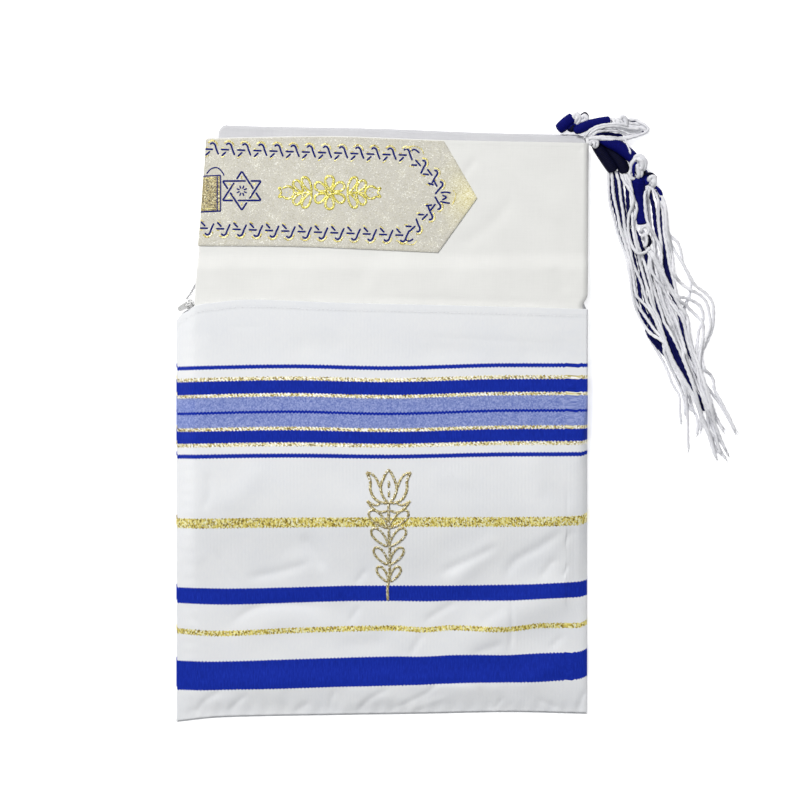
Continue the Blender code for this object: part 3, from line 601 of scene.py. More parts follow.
SLACK = [([(582.6, 454), (582.9, 488), (582.4, 526)], 0.9, 0.6), ([(586.0, 452), (586.3, 486), (586.0, 524)], 2.3, 1.7),
         ([(208, 470), (210, 492), (203, 512)], 3.2, 0.9), ([(214, 547), (223, 566), (236, 588)], 1.4, 0.75),
         ([(302, 533), (312, 550), (325, 571)], 4.0, 1.25), ([(244, 579), (280, 572), (315, 561)], 3.6, 1.1),
         ([(181, 534), (190, 549), (205, 564)], 7.0, -0.7), ([(355, 585), (361, 577), (367, 569)], 2.4, 0.85),
         ([(227, 627), (254, 609), (290, 605), (325, 609)], 3.2, 1.2), ([(184, 603), (190, 614), (198, 627)], 2.0, 0.8),
         ([(349, 624), (355, 614), (360, 606)], 2.4, 0.9), ([(336, 646), (362, 645), (391, 641)], 6.5, 1.0),
         ([(190, 722), (203, 703), (223, 691)], 2.4, 1.1), ([(227, 715), (236, 704), (248, 695)], 2.0, 0.9),
         ([(328, 715), (331, 701), (336, 689)], 2.0, 0.9), ([(353, 717), (366, 703), (378, 695), (391, 689)], 2.2, 1.1),
         ([(214, 706), (225, 701), (237, 697)], 5.0, -0.6), ([(267, 702), (275, 698), (284, 694)], 5.0, -0.6),
         ([(345, 695), (358, 692), (373, 690)], 4.5, -0.6), ([(290, 717), (300, 709), (312, 703)], 2.6, 0.7),
         ([(428, 477), (452, 478), (477, 480)], 6.0, -0.45), ([(536, 490), (560, 497), (580, 506)], 9.0, 0.7),
         ([(438, 575), (478, 556), (501, 543)], 3.6, 1.6), ([(504, 582), (514, 563), (540, 547), (566, 528)], 3.8, 1.4),
         ([(540, 580), (548, 568), (557, 557)], 2.6, 0.9), ([(565, 547), (573, 538), (581, 529)], 3.0, 0.8),
         ([(561, 578), (569, 571), (577, 564)], 2.6, 0.8), ([(423, 624), (440, 612), (459, 602)], 2.8, 1.0),
         ([(477, 625), (492, 616), (508, 606)], 4.6, 1.0), ([(511, 599), (512.5, 626), (510, 655)], 1.5, 1.1),
         ([(410, 657), (416, 646), (424, 634)], 2.6, 0.9), ([(470, 656), (487, 650), (505, 644)], 3.4, 0.9),
         ([(550, 650), (557, 643), (564, 636)], 2.4, 0.8), ([(389, 712), (428, 693), (440, 683), (480, 685)], 1.8, 0.9),
         ([(401, 714), (425, 705), (452, 696)], 2.4, -0.75), ([(478, 685), (485, 697), (493, 712)], 1.8, 1.0),
         ([(494, 713), (499, 704), (505, 698)], 1.8, 0.8), ([(536, 699), (549, 705), (562, 711)], 2.2, 0.8),
         ([(579, 712), (582, 701), (587, 690)], 2.0, 0.8), ([(491, 685), (502, 694), (514, 705)], 4.0, -0.65),
         ([(579.5, 440), (580, 530), (579.5, 622)], 1.0, 0.45), ([(392, 560), (402, 590), (396, 640)], 6.0, 0.4)]
# Faint unevenness over the packet.
TIGHT = [([(290, 347), (320, 345), (348, 350)], 9.0, 0.45), ([(415, 350), (450, 351), (488, 349)], 8.0, 0.45),
         ([(516, 352), (543, 353), (570, 352)], 8.0, 0.45), ([(403, 336), (480, 340), (581, 345)], 1.8, 0.22),
         ([(193, 331), (201, 333), (209, 331)], 7.0, 0.45), ([(229, 328), (246, 327.5), (266, 328)], 1.4, 0.2),
         ([(300, 470), (360, 478), (420, 474)], 11.0, 0.4), ([(240, 350), (246, 380), (243, 410)], 10.0, 0.25)]


def hem_lift(below, deep=6.0, high=0.28, soft=0.5):
    """Extra height of a turned hem, and the dent of its stitching."""
    lift = high * ease((deep + soft - below) / (2 * soft))
    return lift - 0.22 * np.exp(-((below - deep + 0.9) / 0.42) ** 2)


def panel_surface(x, y, drop):
    """Height of the front panel's outer face."""
    rise = BAG_RISE(y)
    high = np.where(y > 0, settle(x, y, rise), rise)
    high = high + rolling(x, y, 7, (34, 62), 0.55) * ease((-4 - y) / 30) * ease((y + 150) / 18)
    high = high + rolling(x, y, 11, (40, 75), 0.14) * ease((y - 2) / 20) * ease((150 - y) / 20)
    slack = 0.8 * strokes_depth(x, y, SLACK) + strokes_depth(x, y, BROAD)
    high = high - slack * ease((y + 157) / 6 + 0.3) - strokes_depth(x, y, TIGHT)
    inset = x + BAG_HALF
    ramp = 0.5 * ease(inset / LEFT_RAMP) + 0.5 * (1 - (1 - np.clip(inset / 25.0, 0.0, 1.0)) ** 2.2)
    # small gathers that run in from the seams
    pull = 0.22 * np.sin(2 * math.pi * y / 9.3 + 1.3 * np.sin(y / 17)) * ease((x + 154.5) / 3) * ease((-136 - x) / 12)
    high = high + pull * ease((150 - y) / 12)
    foot = 0.35 * np.sin(2 * math.pi * x / 11.7 + 1.7 * np.sin(x / 23)) * ease((-137 - y) / 10) * ease((y - FRONT_FOOT(x)) / 3)
    high = high + foot
    return SEAM_TOP + (np.maximum(high, SEAM_TOP) - SEAM_TOP) * ramp * drop, high


def deviation(x, v):
    """How far a stripe at v lies above its straight place, across the bag."""
    rows = [(-116.6, table((-154.5, -4.9), (-131, -4.9), (-114, -4.4), (-70, -3.4), (-24, -1.9), (21, -0.8), (66, 0.9), (111, 1.4),
                            (137, 2.6), (148, 3.5), (154.5, 6.0))),
            (-84.75, table((-154.5, -2.25), (-123, -4.2), (-61.5, -1.5), (9.75, 0), (31.5, -1.5), (53, 0.2),
                           (93, -1.1), (119, 1.95), (148, 2.0), (154.5, 4.6))),
            (-58.9, table((-154.5, -1.7), (-114, -2.4), (-70, -1.5), (-24, 0.0), (21, -0.1), (66, 0.3), (111, 1.2), (137, 2.7),
                           (148, 3.2), (154.5, 4.4))),
            (-5.25, table((-154.5, -1.4), (-70, -0.4), (5, 0), (88.5, 0.0), (148, 1.1), (154.5, 3.9))),
            (43.8, table((-154.5, -0.3), (-70, 0.8), (5, 0), (88.5, 1.65), (148, 1.9), (154.5, 3.45))),
            (75.9, table((-154.5, -0.15), (-70, 1.6), (5, 0), (88.5, 2.4), (154.5, 2.6))),
            (110.0, table((-154.5, -0.2), (-70, 1.3), (5, 0), (88.5, 2.2), (154.5, 2.2)))]
    at = np.array([r[0] for r in rows])
    values = np.stack([r[1](x) for r in rows])
    v = np.clip(v, at[0], at[-1])
    i = np.clip(np.searchsorted(at, v) - 1, 0, len(rows) - 2)
    t = (v - at[i]) / (at[i + 1] - at[i])
    low = np.take_along_axis(values, i[None], 0)[0]
    high = np.take_along_axis(values, (i + 1)[None], 0)[0]
    return low + (high - low) * t


def stripe_place(x, y):
    v = y.copy()
    for _ in range(4):
        v = y - deviation(x, v)
    return v


def panel_grid(columns_x, turn, rows_from_foot, rows_below_mouth):
    """The panel's outer face. The last columns go down the right-hand turn."""
    angle = np.linspace(0, 1, turn + 1)[1:] * math.pi / 2
    x = np.r_[columns_x, BAG_HALF - RIGHT_ROUND * (1 - np.sin(angle))]
    drop = np.r_[np.ones(len(columns_x)), np.maximum(np.cos(angle), 0) ** 0.6]
    foot, mouth = FRONT_FOOT(x), FRONT_MOUTH(x)
    rows = [foot + (mouth - rows_below_mouth[0] - foot) * t for t in rows_from_foot]
    rows += [mouth - b for b in rows_below_mouth[1:]]
    y = np.stack(rows)
    X = np.broadcast_to(x, y.shape).copy()
    z, high = panel_surface(X, y, np.broadcast_to(drop, y.shape))
    z[:, -1] = 1.2 + GAP + 0.2 + 1.0 * np.maximum(0.0, 1 - (high[:, -1] - SEAM_TOP) / 6.0)
    return np.stack([X, y, z], axis=-1), mouth, drop


bag_cloth = bag_finish()
flat_to = BAG_HALF - RIGHT_ROUND
left_x = np.linspace(-BAG_HALF, -BAG_HALF + 18, 17)
main_x = np.linspace(-BAG_HALF + 18, flat_to, 173)[1:]
grid, mouth, drop = panel_grid(np.r_[left_x, main_x], 12, np.r_[np.linspace(0, 0.035, 9), np.linspace(0.035, 1, 178)[1:]],
                               np.linspace(11, 0, 21))
below = mouth[None, :] - grid[..., 1]
inward = BAG_HALF - grid[..., 0]
sharp = 1.8 - 1.42 * ease((grid[..., 1] - 44) / 44) - 0.8 * ease((-62 - grid[..., 1]) / 24)
grid[..., 0] = BAG_HALF - np.where(inward < RIGHT_ROUND * 4, inward * (sharp + (1 - sharp) * ease((inward - RIGHT_ROUND) / (RIGHT_ROUND * 3))), inward)
grid[..., 2] += hem_lift(below, 6.2) * np.where(drop > 0.3, 1.0, 0.3)
if grid.shape[0] % 2 == 0:
    grid = grid[1:]
if grid.shape[1] % 2 == 0:
    grid = np.delete(grid, 1, axis=1)
run = np.r_[0, np.cumsum(np.linalg.norm(np.diff(grid[grid.shape[0] // 2, :, ::2], axis=0), axis=1))] - BAG_HALF
cloth = np.stack([np.broadcast_to(run, grid.shape[:2]), stripe_place(grid[..., 0], grid[..., 1])], axis=-1)
points, faces, places = shell(grid, 0.9, 2, cloth)
bag_front = mesh_object("bag_front_panel", points, faces, bag_cloth, cloth=places)
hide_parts("bag_front")
PANEL = grid


def on_panel(x, y):
    """Height of the finished front panel at places off its turned side."""
    i = np.argmin(abs(PANEL[:, PANEL.shape[1] // 2, 1][None] - np.asarray(y).reshape(-1, 1)), axis=1)
    out = []
    xs = PANEL[0, :, 0]
    for px, py in zip(np.ravel(x), np.ravel(y)):
        j = int(np.clip(np.searchsorted(xs, px) - 1, 0, len(xs) - 2))
        t = (px - xs[j]) / max(xs[j + 1] - xs[j], 1e-9)
        ya = PANEL[:, j, 1]
        za = np.interp(py, ya, PANEL[:, j, 2])
        zb = np.interp(py, PANEL[:, j + 1, 1], PANEL[:, j + 1, 2])
        out.append(za + (zb - za) * t)
    return np.array(out)


def stitches(name, where, mat, slot, long=2.1, wide=0.42, high=0.3, lift=0.05):
    """Small raised stitches: rows of place (x, y, z) and direction (dx, dy, dz)."""
    pile = Pile()
    ring = np.array([(-0.5, 0, 0.0), (-0.3, 0.5, 0.25), (0.3, 0.5, 0.25), (0.5, 0, 0.0), (0.3, -0.5, 0.25), (-0.3, -0.5, 0.25),
                     (-0.22, 0, 1.0), (0.22, 0, 1.0), (-0.5, 0, -1.0), (0.5, 0, -1.0)])
    tri = [(6, 7, 2, 1), (7, 6, 5, 4), (6, 1, 0), (6, 0, 5), (7, 3, 2), (7, 4, 3),
           (0, 1, 8), (5, 0, 8), (3, 9, 2), (4, 9, 3), (1, 2, 9, 8), (5, 8, 9, 4)]
    for at, along in where:
        along = unit(np.asarray(along, float))
        side = unit(np.cross([0, 0, 1.0], along))
        up = np.cross(along, side)
        p = (np.asarray(at) + up * lift + ring[:, :1] * along * long + ring[:, 1:2] * side * wide + ring[:, 2:] * up * high)
        pile.add(p, tri)
    return pile.make(name, mat, slot)


thread_white = plain_cloth("sewing_thread_white", (226, 227, 230), (238, 238, 240), 0.35)
row = []
sx = np.arange(-146.0, 148.0, 3.0)
for x in sx:
    pair = np.array([x - 1.0, x + 1.0])
    y = FRONT_MOUTH(pair) - 5.6
    z = on_panel(pair, y)
    a, b = np.array([pair[0], y[0], z[0]]), np.array([pair[1], y[1], z[1]])
    row.append(((a + b) / 2, b - a))
stitches("bag_mouth_stitching", row, thread_white, "bag_cloth")

# ---- the bag's back panel -----------------------------------------------------------
x = np.r_[np.linspace(-155.3, -124.0, 25), np.linspace(-124.0, 130.0, 44)[1:], np.linspace(130, 154.3, 13)[1:]]
t = np.linspace(0, 1, 61)[:, None]
y = FRONT_FOOT(x)[None] + (BACK_MOUTH(x) - FRONT_FOOT(x))[None] * t
X = np.broadcast_to(x, y.shape)
grid = np.stack([X, y, np.full(y.shape, BAG_CLOTH)], axis=-1)
cloth = np.stack([X, stripe_place(np.array(X), y) - 2.2], axis=-1)
points, faces, places = shell(grid, 1.15, 2, cloth)
points[:, 2] = np.maximum(points[:, 2], 0.02)
bag_back = mesh_object("bag_back_panel", points, faces, bag_cloth, cloth=places)
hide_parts("bag_back")

# ---- zip: tapes with their coils ------------------------------------------------------
# White tape, painted a little brighter than the bag cloth: painted light against the shade at the bag's mouth.
tape_cloth = plain_cloth("zip_tape_woven", (238, 238, 240), (248, 248, 249), 0.8, 0.0001)
coil_white = Finish("zip_coil_nylon", rough=0.35, specular=0.5)
u, v, w = coil_white.place("cloth")
coil_white.colour(coil_white.ramp(coil_white.noise(coil_white.vector(u, v, w), 0.6, 2.0),
                                  [(0.3, linear(214, 215, 218)), (0.7, linear(232, 232, 234))]))
coil_white = coil_white.mat


def coil(path, pitch=1.25, wide=1.0, high=0.55, thick=0.24):
    """Nylon coil of a zip along a path: a flattened screw of thick thread."""
    path, run = curve_through(path, pitch / 8)
    side, up = frames(path)
    turn = 2 * math.pi * np.linspace(0, run / pitch, len(path))
    line = path + side * (np.cos(turn) * wide)[:, None] + up * (np.sin(turn) * high)[:, None]
    return tube(line, thick, 5)


def panel_point(x, y, sink):
    z = on_panel(x, y)
    return np.stack([x, y, z - sink], axis=-1)


x = np.r_[np.linspace(-151.2, -137, 8), np.linspace(-137, 148.0, 48)[1:]]
grid = np.stack([panel_point(x, FRONT_MOUTH(x) - 1.0 - 12.0 * (1 - t), BAG_CLOTH + GAP + 0.2) for t in np.linspace(0, 1, 7)])
grid = grid[:, : (grid.shape[1] - 1) // 2 * 2 + 1]
points, faces, places = shell(grid, 0.5, 2)
pile = Pile()
pile.add(points, faces, places)
edge = grid[-1, ::2] + np.array([0.0, -1.2, -0.9])
points, faces = coil(edge)
pile.add(points, faces, mat=1)
tape_front = pile.make("zip_tape_front_woven", [tape_cloth, coil_white], "zip_tape")
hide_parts("zip_tape_front")

BACK_TAPE = [(-147.4, 162.3, 4.9, 0.0, 3.2), (-144.6, 166.2, 5.0, 0.0, 3.4), (-141.4, 171.2, 5.0, 8.0, 3.4),
             (-138.0, 174.0, 4.4, 40.0, 3.4), (-134.2, 175.2, 2.9, 74.0, 4.0), (-130.0, 174.6, 1.95, 90.0, 5.0)]
BACK_TAPE += [(x, float(BACK_MOUTH(x)) - 7.0, BAG_CLOTH + GAP + 0.4, 90.0, 6.0)
              for x in (-122.0, -85.0, -39.0, 10.0, 58.0, 96.0, 133.5, 142.0)]
rows5, _ = curve_through(BACK_TAPE, 2.5)
rows5 = rows5[: (len(rows5) - 1) // 2 * 2 + 1]
along = unit(np.gradient(rows5[:, :3], axis=0) * np.array([1, 1, 0]))
out = np.stack([-along[:, 1], along[:, 0], np.zeros(len(along))], axis=1)
lean = np.radians(np.clip(rows5[:, 3], 0, 90))[:, None]
wide = out * np.sin(lean) + np.array([0, 0, 1.0]) * np.cos(lean)
thin = np.cross(wide, along)
grid = np.stack([rows5[:, :3] + wide * rows5[:, 4:5] * q - thin * 0.25 for q in np.linspace(1, -1, 7)])
points, faces, places = shell(grid[::-1].copy(), 0.5, 2)
pile = Pile()
points[:, 2] = np.maximum(points[:, 2], 1.25)
pile.add(points, faces, places)
edge = rows5[:, :3] + wide * (rows5[:, 4:5] - 1.0) - thin * 0.75
edge[:, 2] = np.maximum(edge[:, 2], 2.2)
points, faces = coil(edge[::2])
pile.add(points, faces, mat=1)
tape_back = pile.make("zip_tape_back_woven", [tape_cloth, coil_white], "zip_tape")
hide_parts("zip_tape_back")

# ---- zip slider and pull: the solids' own shapes, with a worn finish -------------------
enamel = Finish("slider_enamel_white", rough=0.32, specular=0.5)
geo = enamel.tree.nodes.new("ShaderNodeNewGeometry")
spot = enamel.noise(geo.outputs["Position"], 900.0, 3.0)
point_edge = enamel.ramp(geo.outputs["Pointiness"], [(0.49, (0, 0, 0, 1)), (0.56, (1, 1, 1, 1))])
worn = enamel.math("MULTIPLY", point_edge, enamel.ramp(spot, [(0.45, (0, 0, 0, 1)), (0.6, (1, 1, 1, 1))]))
enamel.colour(enamel.mix(worn, linear(246, 246, 245), linear(120, 120, 120)))
enamel.put(enamel.math("MULTIPLY_ADD", spot, 0.2, 0.22), enamel.shader.inputs["Roughness"])
enamel.bump(spot, 0.00003, 0.4)
nickel = Finish("pull_nickel_brushed", rough=0.3, metal=0.45)
geo = nickel.tree.nodes.new("ShaderNodeNewGeometry")
grain = nickel.noise(geo.outputs["Position"], 1500.0, 3.0)
nickel.colour(nickel.ramp(grain, [(0.3, linear(232, 232, 231)), (0.7, linear(250, 250, 249))]))
nickel.put(nickel.math("MULTIPLY_ADD", grain, 0.25, 0.18), nickel.shader.inputs["Roughness"])
nickel.bump(grain, 0.00002, 0.5)
for node, mat in (("zip_slider", enamel.mat), ("zip_pull", nickel.mat)):
    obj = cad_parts[node]
    obj.data.materials.clear()
    obj.data.materials.append(mat)

# ---- the shawl's front layer -------------------------------------------------------------
FOLD_R = 1.15
LIP = 12.0
SIDE_R = 5.0
SIDE_DEEP = 4.4
shawl_cloth = plain_cloth("shawl_cloth_white", (229, 229, 226), (236, 236, 233), 0.55, 0.00005)
SOFT = [([(461, 179), (469, 168), (477, 158)], 3.2, 0.5), ([(457, 248), (490, 226), (516, 194)], 5.5, 0.55),
        ([(552, 266), (560, 280), (568, 294)], 5.5, 0.45), ([(350, 290), (366, 271), (380, 254)], 7.5, 0.45),
        ([(356, 297), (450, 300), (572, 304)], 2.6, 0.3), ([(225, 270), (262, 276), (300, 272)], 8.0, 0.3),
        ([(520, 160), (545, 175), (560, 200)], 8.0, 0.35), ([(578, 152), (584, 148), (590, 143)], 1.6, 0.35),
        ([(430, 280), (470, 262), (500, 262)], 7.0, 0.35), ([(560, 215), (566, 236), (563, 258)], 7.0, 0.3)]


def front_cover(x, y):
    """Height of the front layer's outer face off its folds."""
    z = settle(x, y, np.full_like(x, TOP))
    quiet = ease((y - 120) / 20) * ease((x - SHAWL_LEFT(y)) / 12) * ease((SHAWL_RIGHT(y) - x) / 10)
    z = z - 1.15 * strokes_depth(x, y, SOFT) * quiet + rolling(x, y, 23, (38, 70), 0.16) * quiet
    return z - 0.05


def front_rows(y):
    left, right = float(SHAWL_LEFT(y)), float(SHAWL_RIGHT(y))
    low = TOP - 2 * FOLD_R
    line = [(left + LIP * q + 1.2 * (1 - q), low) for q in (1.0, 0.7, 0.4, 0.0)]
    for k in range(1, 12):
        a = math.radians(270 - 15 * k)
        line.append((left + FOLD_R + FOLD_R * math.cos(a), TOP - FOLD_R + FOLD_R * math.sin(a)))
    line += [(x, TOP) for x in np.linspace(left + FOLD_R + 0.4, right - SIDE_R, 141)]
    for k in range(1, 12):
        a = math.radians(90 - 90 * k / 11)
        line.append((right - SIDE_R + SIDE_R * math.cos(a), TOP - SIDE_DEEP + SIDE_DEEP * math.sin(a)))
    return np.array(line)


row_y = np.r_[10.5, 60.0, 110.0, np.linspace(130, 270, 80)]
grid = []
for y in row_y:
    line = front_rows(y)
    grid.append(np.stack([line[:, 0], np.full(len(line), y), line[:, 1]], axis=1))
base = front_rows(282.0)
for back in np.r_[np.linspace(1, 0, 16)[1:]]:
    yy = FRONT_HEAD(base[:, 0]) - back * (FRONT_HEAD(base[:, 0]) - 270.0)
    xx = base[:, 0] + np.where(base[:, 0] < 0, SHAWL_LEFT(yy) - SHAWL_LEFT(282.0), SHAWL_RIGHT(yy) - SHAWL_RIGHT(282.0))
    grid.append(np.stack([xx, yy, base[:, 1]], axis=1))
grid = np.array(grid)
X, Y, Z = grid[..., 0], grid[..., 1], grid[..., 2]
cover = front_cover(X, Y)
Z[:] = settle(X, Y, Z) + (cover - settle(X, Y, np.full_like(X, TOP))) * (Z > TOP - 0.01)
below = FRONT_HEAD(X) - Y
Z += hem_lift(below, 4.6, 0.16, 0.5) * (grid[..., 2] > TOP - 3)
if grid.shape[0] % 2 == 0:
    grid = np.delete(grid, 2, axis=0)
if grid.shape[1] % 2 == 0:
    grid = np.delete(grid, 1, axis=1)
run = np.r_[0, np.cumsum(np.linalg.norm(np.diff(grid[-20, :, ::2], axis=0), axis=1))]
cloth = np.stack([np.broadcast_to(run, grid.shape[:2]), grid[..., 1]], axis=-1)
points, faces, places = shell(grid, 0.5, 2, cloth)
front_layer = mesh_object("shawl_front_sheet", points, faces, shawl_cloth, cloth=places)
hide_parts("shawl_front_layer")

# ---- the shawl's other eleven layers, folded round one another ----------------------------
# The same white cloth as the front layer, painted darker: painted shade for the layers that lie under and behind it.
inner_cloth_painted_shade = plain_cloth("shawl_cloth_inner_painted_shade", (203, 203, 207), (216, 216, 219), 0.55, 0.00005)
FOOT = PACKET_FOOT + 1.4


def fold_line(levels, sides, lefts, rights, jogs):
    """A folded cross-section as rows of share across, left and right inset,
    height and how far the layer's edge is set back. sides names the side at
    which each layer joins the next one."""
    line = []
    for n, z in enumerate(levels):
        to_right = sides[n] == "R" if n < len(sides) else sides[n - 1] == "L"
        share = np.r_[0.0, 0.004, 0.012, 0.03, np.linspace(0.06, 0.94, 15), 0.97, 0.988, 0.996, 1.0]
        line += [(s, lefts[n], rights[n], z, jogs[n]) for s in (share if to_right else share[::-1])]
        if n < len(sides):
            mid, r = (z + levels[n + 1]) / 2, abs(levels[n + 1] - z) / 2
            for k in range(1, 8):
                a = math.pi * k / 8
                out = 0.9 * r * math.sin(a)
                high = mid + (z - mid) * math.cos(a)
                jog = jogs[n] + (jogs[n + 1] - jogs[n]) * k / 8
                if sides[n] == "R":
                    line.append((1.0, lefts[n], rights[n] - out, high, jog))
                else:
                    line.append((0.0, lefts[n] - out, rights[n], high, jog))
    if len(line) % 2 == 0:
        line.pop(3)
    return np.array(line).T


def folded(pile, levels, sides, lefts, rights, head, jogs, corner, seed):
    s, lin, rin, z0, jog = fold_line(levels, sides, lefts, rights, jogs)
    rows = [("y", y) for y in (FOOT, 70.0, 130.0, 160.0, 183.0, 186.0, 189.0, 192.0, 195.0, 198.0, 215.0, 235.0, 250.0)]
    rows += [("head", t) for t in (22, 16, 11, 7.4, 5.3, 4.5, 3.7, 2.5, 1.3, 0.5, 0.0)]
    if len(rows) % 2 == 0:
        rows.pop(1)
    grid = []
    for kind, value in rows:
        x = np.zeros_like(s)
        for _ in range(3):
            h = head(x) - jog - 0.35 * np.sin(x / 27 + seed)
            y = np.full_like(s, value) if kind == "y" else h - value
            left, right = SHAWL_LEFT(y) + lin, SHAWL_RIGHT(y) - rin
            x = left + (right - left) * s
        near = np.clip((h - y) / corner, 0, 1)
        cut = corner * (1 - np.sqrt(np.clip(1 - (1 - near) ** 2, 0, 1)))
        x = x + cut * np.clip(1 - s / 0.02, 0, 1) - cut * np.clip(1 - (1 - s) / 0.02, 0, 1)
        wavy = 0.09 * np.sin(x / 9.0 + seed * 2.1 + y / 14) * ease((y - 200) / 60)
        grid.append(np.stack([x, y, settle(x, y, z0) + wavy], axis=1))
    grid = np.array(grid)
    run = np.r_[0, np.cumsum(np.linalg.norm(np.diff(grid[-12, :, ::2], axis=0), axis=1))]
    cloth = np.stack([np.broadcast_to(run, grid.shape[:2]), grid[..., 1]], axis=-1)
    points, faces, places = shell(grid, 0.46, 2, cloth)
    points[:, 2] = np.maximum(points[:, 2], 0.03)
    pile.add(points, faces, places)


layers = Pile()
# front half, from the front: B1, B2, B3, with A2, A3 folded inside B2 and B3
folded(layers, [12.4, 10.35, 8.51], "RL", [15.0, 3.9, 3.9], [4.2, 4.2, 3.0],
       lambda x: FRONT_HEAD(x) - 0.6, [1.4, 2.0, 0.9], 2.2, 3)
folded(layers, [9.65, 9.31], "L", [5.4, 5.4], [1.0, 2.4], lambda x: FRONT_HEAD(x) - 0.6, [0.4, 1.2], 2.2, 4)
# back half: A3, A2, A1, B1, B2, B3, all one cloth
folded(layers, [6.08, 5.71, 2.75, 4.06, 4.42, 7.36], "LRLRL", [9.6, 9.6, 8.8, 8.8, 8.9, 8.9],
       [2.6, 3.0, 3.0, 4.6, 4.6, 2.0], BACK_HEAD, [1.3, 1.0, 0.0, 0.5, 1.1, 2.6], 4.5, 5)
folded_layers = layers.make("shawl_folded_sheets", inner_cloth_painted_shade, "shawl_cloth")
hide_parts("shawl_folded_layers")


# ---- the neckband (atarah) -------------------------------------------------------------
def neckband_finish():
    """Silver-grey brocade shot with gold and white metal yarn, yellower at its point."""
    f = Finish("neckband_brocade", rough=0.5, sheen=0.03, specular=0.35)
    u, v, _ = f.place()
    cell, middle = f.cells(f.vector(f.math("MULTIPLY", u, 1 / 0.62), f.math("MULTIPLY", v, 1 / 0.5)))
    patch = f.noise(f.vector(u, v), 0.11, 3.0)
    value = f.math("ADD", cell, f.math("MULTIPLY", f.math("SUBTRACT", patch, 0.5), 0.5), clamp=True)
    ground = f.ramp(value, [(0.0, linear(188, 184, 166)), (0.10, linear(201, 197, 182)), (0.28, linear(206, 203, 192)),
                            (0.62, linear(210, 207, 197)), (0.86, linear(221, 218, 202)), (0.955, linear(247, 246, 237))],
                    "CONSTANT")
    yellow = f.ramp(value, [(0.0, linear(196, 182, 120)), (0.12, linear(222, 212, 158)), (0.36, linear(232, 225, 182)),
                            (0.72, linear(242, 237, 200)), (0.93, linear(255, 253, 232))], "CONSTANT")
    # the point is yellower; so is a little of the ground here and there
    tip = f.math("MULTIPLY_ADD", u, 1 / 26, -40.0 / 26, clamp=True)
    band = f.math("SUBTRACT", 1.0, f.math("MULTIPLY", f.math("ABSOLUTE", f.math("SUBTRACT", v, 238.0)), 1 / 36), clamp=True)
    share = f.math("MULTIPLY", f.math("MULTIPLY", tip, band), 1.15, clamp=True)
    share = f.math("ADD", share, f.math("MULTIPLY", f.math("SUBTRACT", patch, 0.54), 0.6), clamp=True)
    colour = f.mix(share, ground, yellow)
    shade = f.noise(f.vector(u, v), 0.045, 2.0)
    colour = f.mix(0.55, colour, f.ramp(shade, [(0.35, (0.90, 0.90, 0.91, 1)), (0.65, (1, 1, 1, 1))]), "MULTIPLY")
    f.colour(colour)
    f.shader.inputs["Metallic"].default_value = 0.08
    f.put(f.math("MULTIPLY_ADD", cell, 0.3, 0.36), f.shader.inputs["Roughness"])
    twill = wave(f, f.math("ADD", u, v), 0.7)
    f.bump(f.math("ADD", cell, f.math("MULTIPLY", twill, 0.5)), 0.00003, 0.3)
    return f.mat


BAND_LIFT = 0.95


def band_place(x, y, lift=0.0):
    """A point on the neckband, or above it; places left of the fold's middle
    go round the fold."""
    x, y = np.broadcast_arrays(np.asarray(x, float), np.asarray(y, float))
    left = SHAWL_LEFT(y)
    flat = np.maximum(x, left + FOLD_R)
    high = front_cover(flat, y) + BAND_LIFT + 0.05 + lift
    r = FOLD_R + BAND_LIFT
    arc = np.maximum(left + FOLD_R - x, 0.0)
    angle = np.pi / 2 + arc / r
    rr = r + lift
    xs = np.where(arc > 0, left + FOLD_R + rr * np.cos(angle), flat)
    zs = np.where(arc > 0, settle(left + FOLD_R, y, np.full_like(x, TOP - FOLD_R)) + rr * np.sin(angle), high)
    return np.stack([xs, y, zs], axis=-1)


BAND_LOW = table((-140.0, 201.8), (-59.3, 201.0), (-10.0, 199.0), (42.0, 196.6), (72.0, 195.4))
TIP_V = 0.500


def band_end(v):
    return np.where(v < TIP_V, 42.0 + (71.3 - 42.0) * v / TIP_V, 46.5 + (71.3 - 46.5) * (1 - v) / (1 - TIP_V))


def band_row(v, x):
    """A row of the band: its lower edge dips towards the point."""
    foot, head = BAND_LOW(x), FRONT_HEAD(x) - 0.8
    return foot + (head - foot) * v


wrap = (FOLD_R + BAND_LIFT) * math.radians(128)
grid, flatx = [], []
for v in np.linspace(0, 1, 57):
    left = float(SHAWL_LEFT(band_row(v, -134.0))) + FOLD_R
    x = np.r_[left - np.linspace(wrap, 0, 13), left + (float(band_end(v)) - left) * np.linspace(0, 1, 129)[1:]]
    flatx.append(x)
    grid.append(band_place(x, band_row(v, x)))
grid, flatx = np.array(grid), np.array(flatx)
cloth = np.stack([flatx, grid[..., 1]], axis=-1)
points, faces, places = shell(grid, 0.65, 2, cloth)
neckband = mesh_object("atarah_brocade", points, faces, neckband_finish(), cloth=places)
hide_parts("atarah_neckband")


def ribbon(pile, line, where, wide=1.0, high=0.32, lift=0.02, step=0.6, mat=0, sides=8, taper=True):
    """A raised woven or embroidered stroke through 2-D points laid on a surface."""
    path, run = curve_through(np.asarray(line, float), step)
    path3 = where(path[:, 0], path[:, 1], lift)
    n = len(path3)
    share = np.arange(n) / (n - 1)
    end = np.clip(np.minimum(share, 1 - share) * run / (wide * 0.5), 0, 1) if taper else np.ones(n)
    half = wide / 2 * np.sqrt(np.clip(1 - (1 - end) ** 2, 0.08, 1))
    points, faces = tube(path3, half, sides, squash=high / wide)
    pile.add(points, faces, np.column_stack([points[:, 0], points[:, 1], points[:, 2]]), mat)


def turned(points, at, angle, flip=1.0):
    c, s = math.cos(angle), math.sin(angle)
    p = np.asarray(points, float) * np.array([1.0, flip])
    return np.column_stack([at[0] + p[:, 0] * c - p[:, 1] * s, at[1] + p[:, 0] * s + p[:, 1] * c])


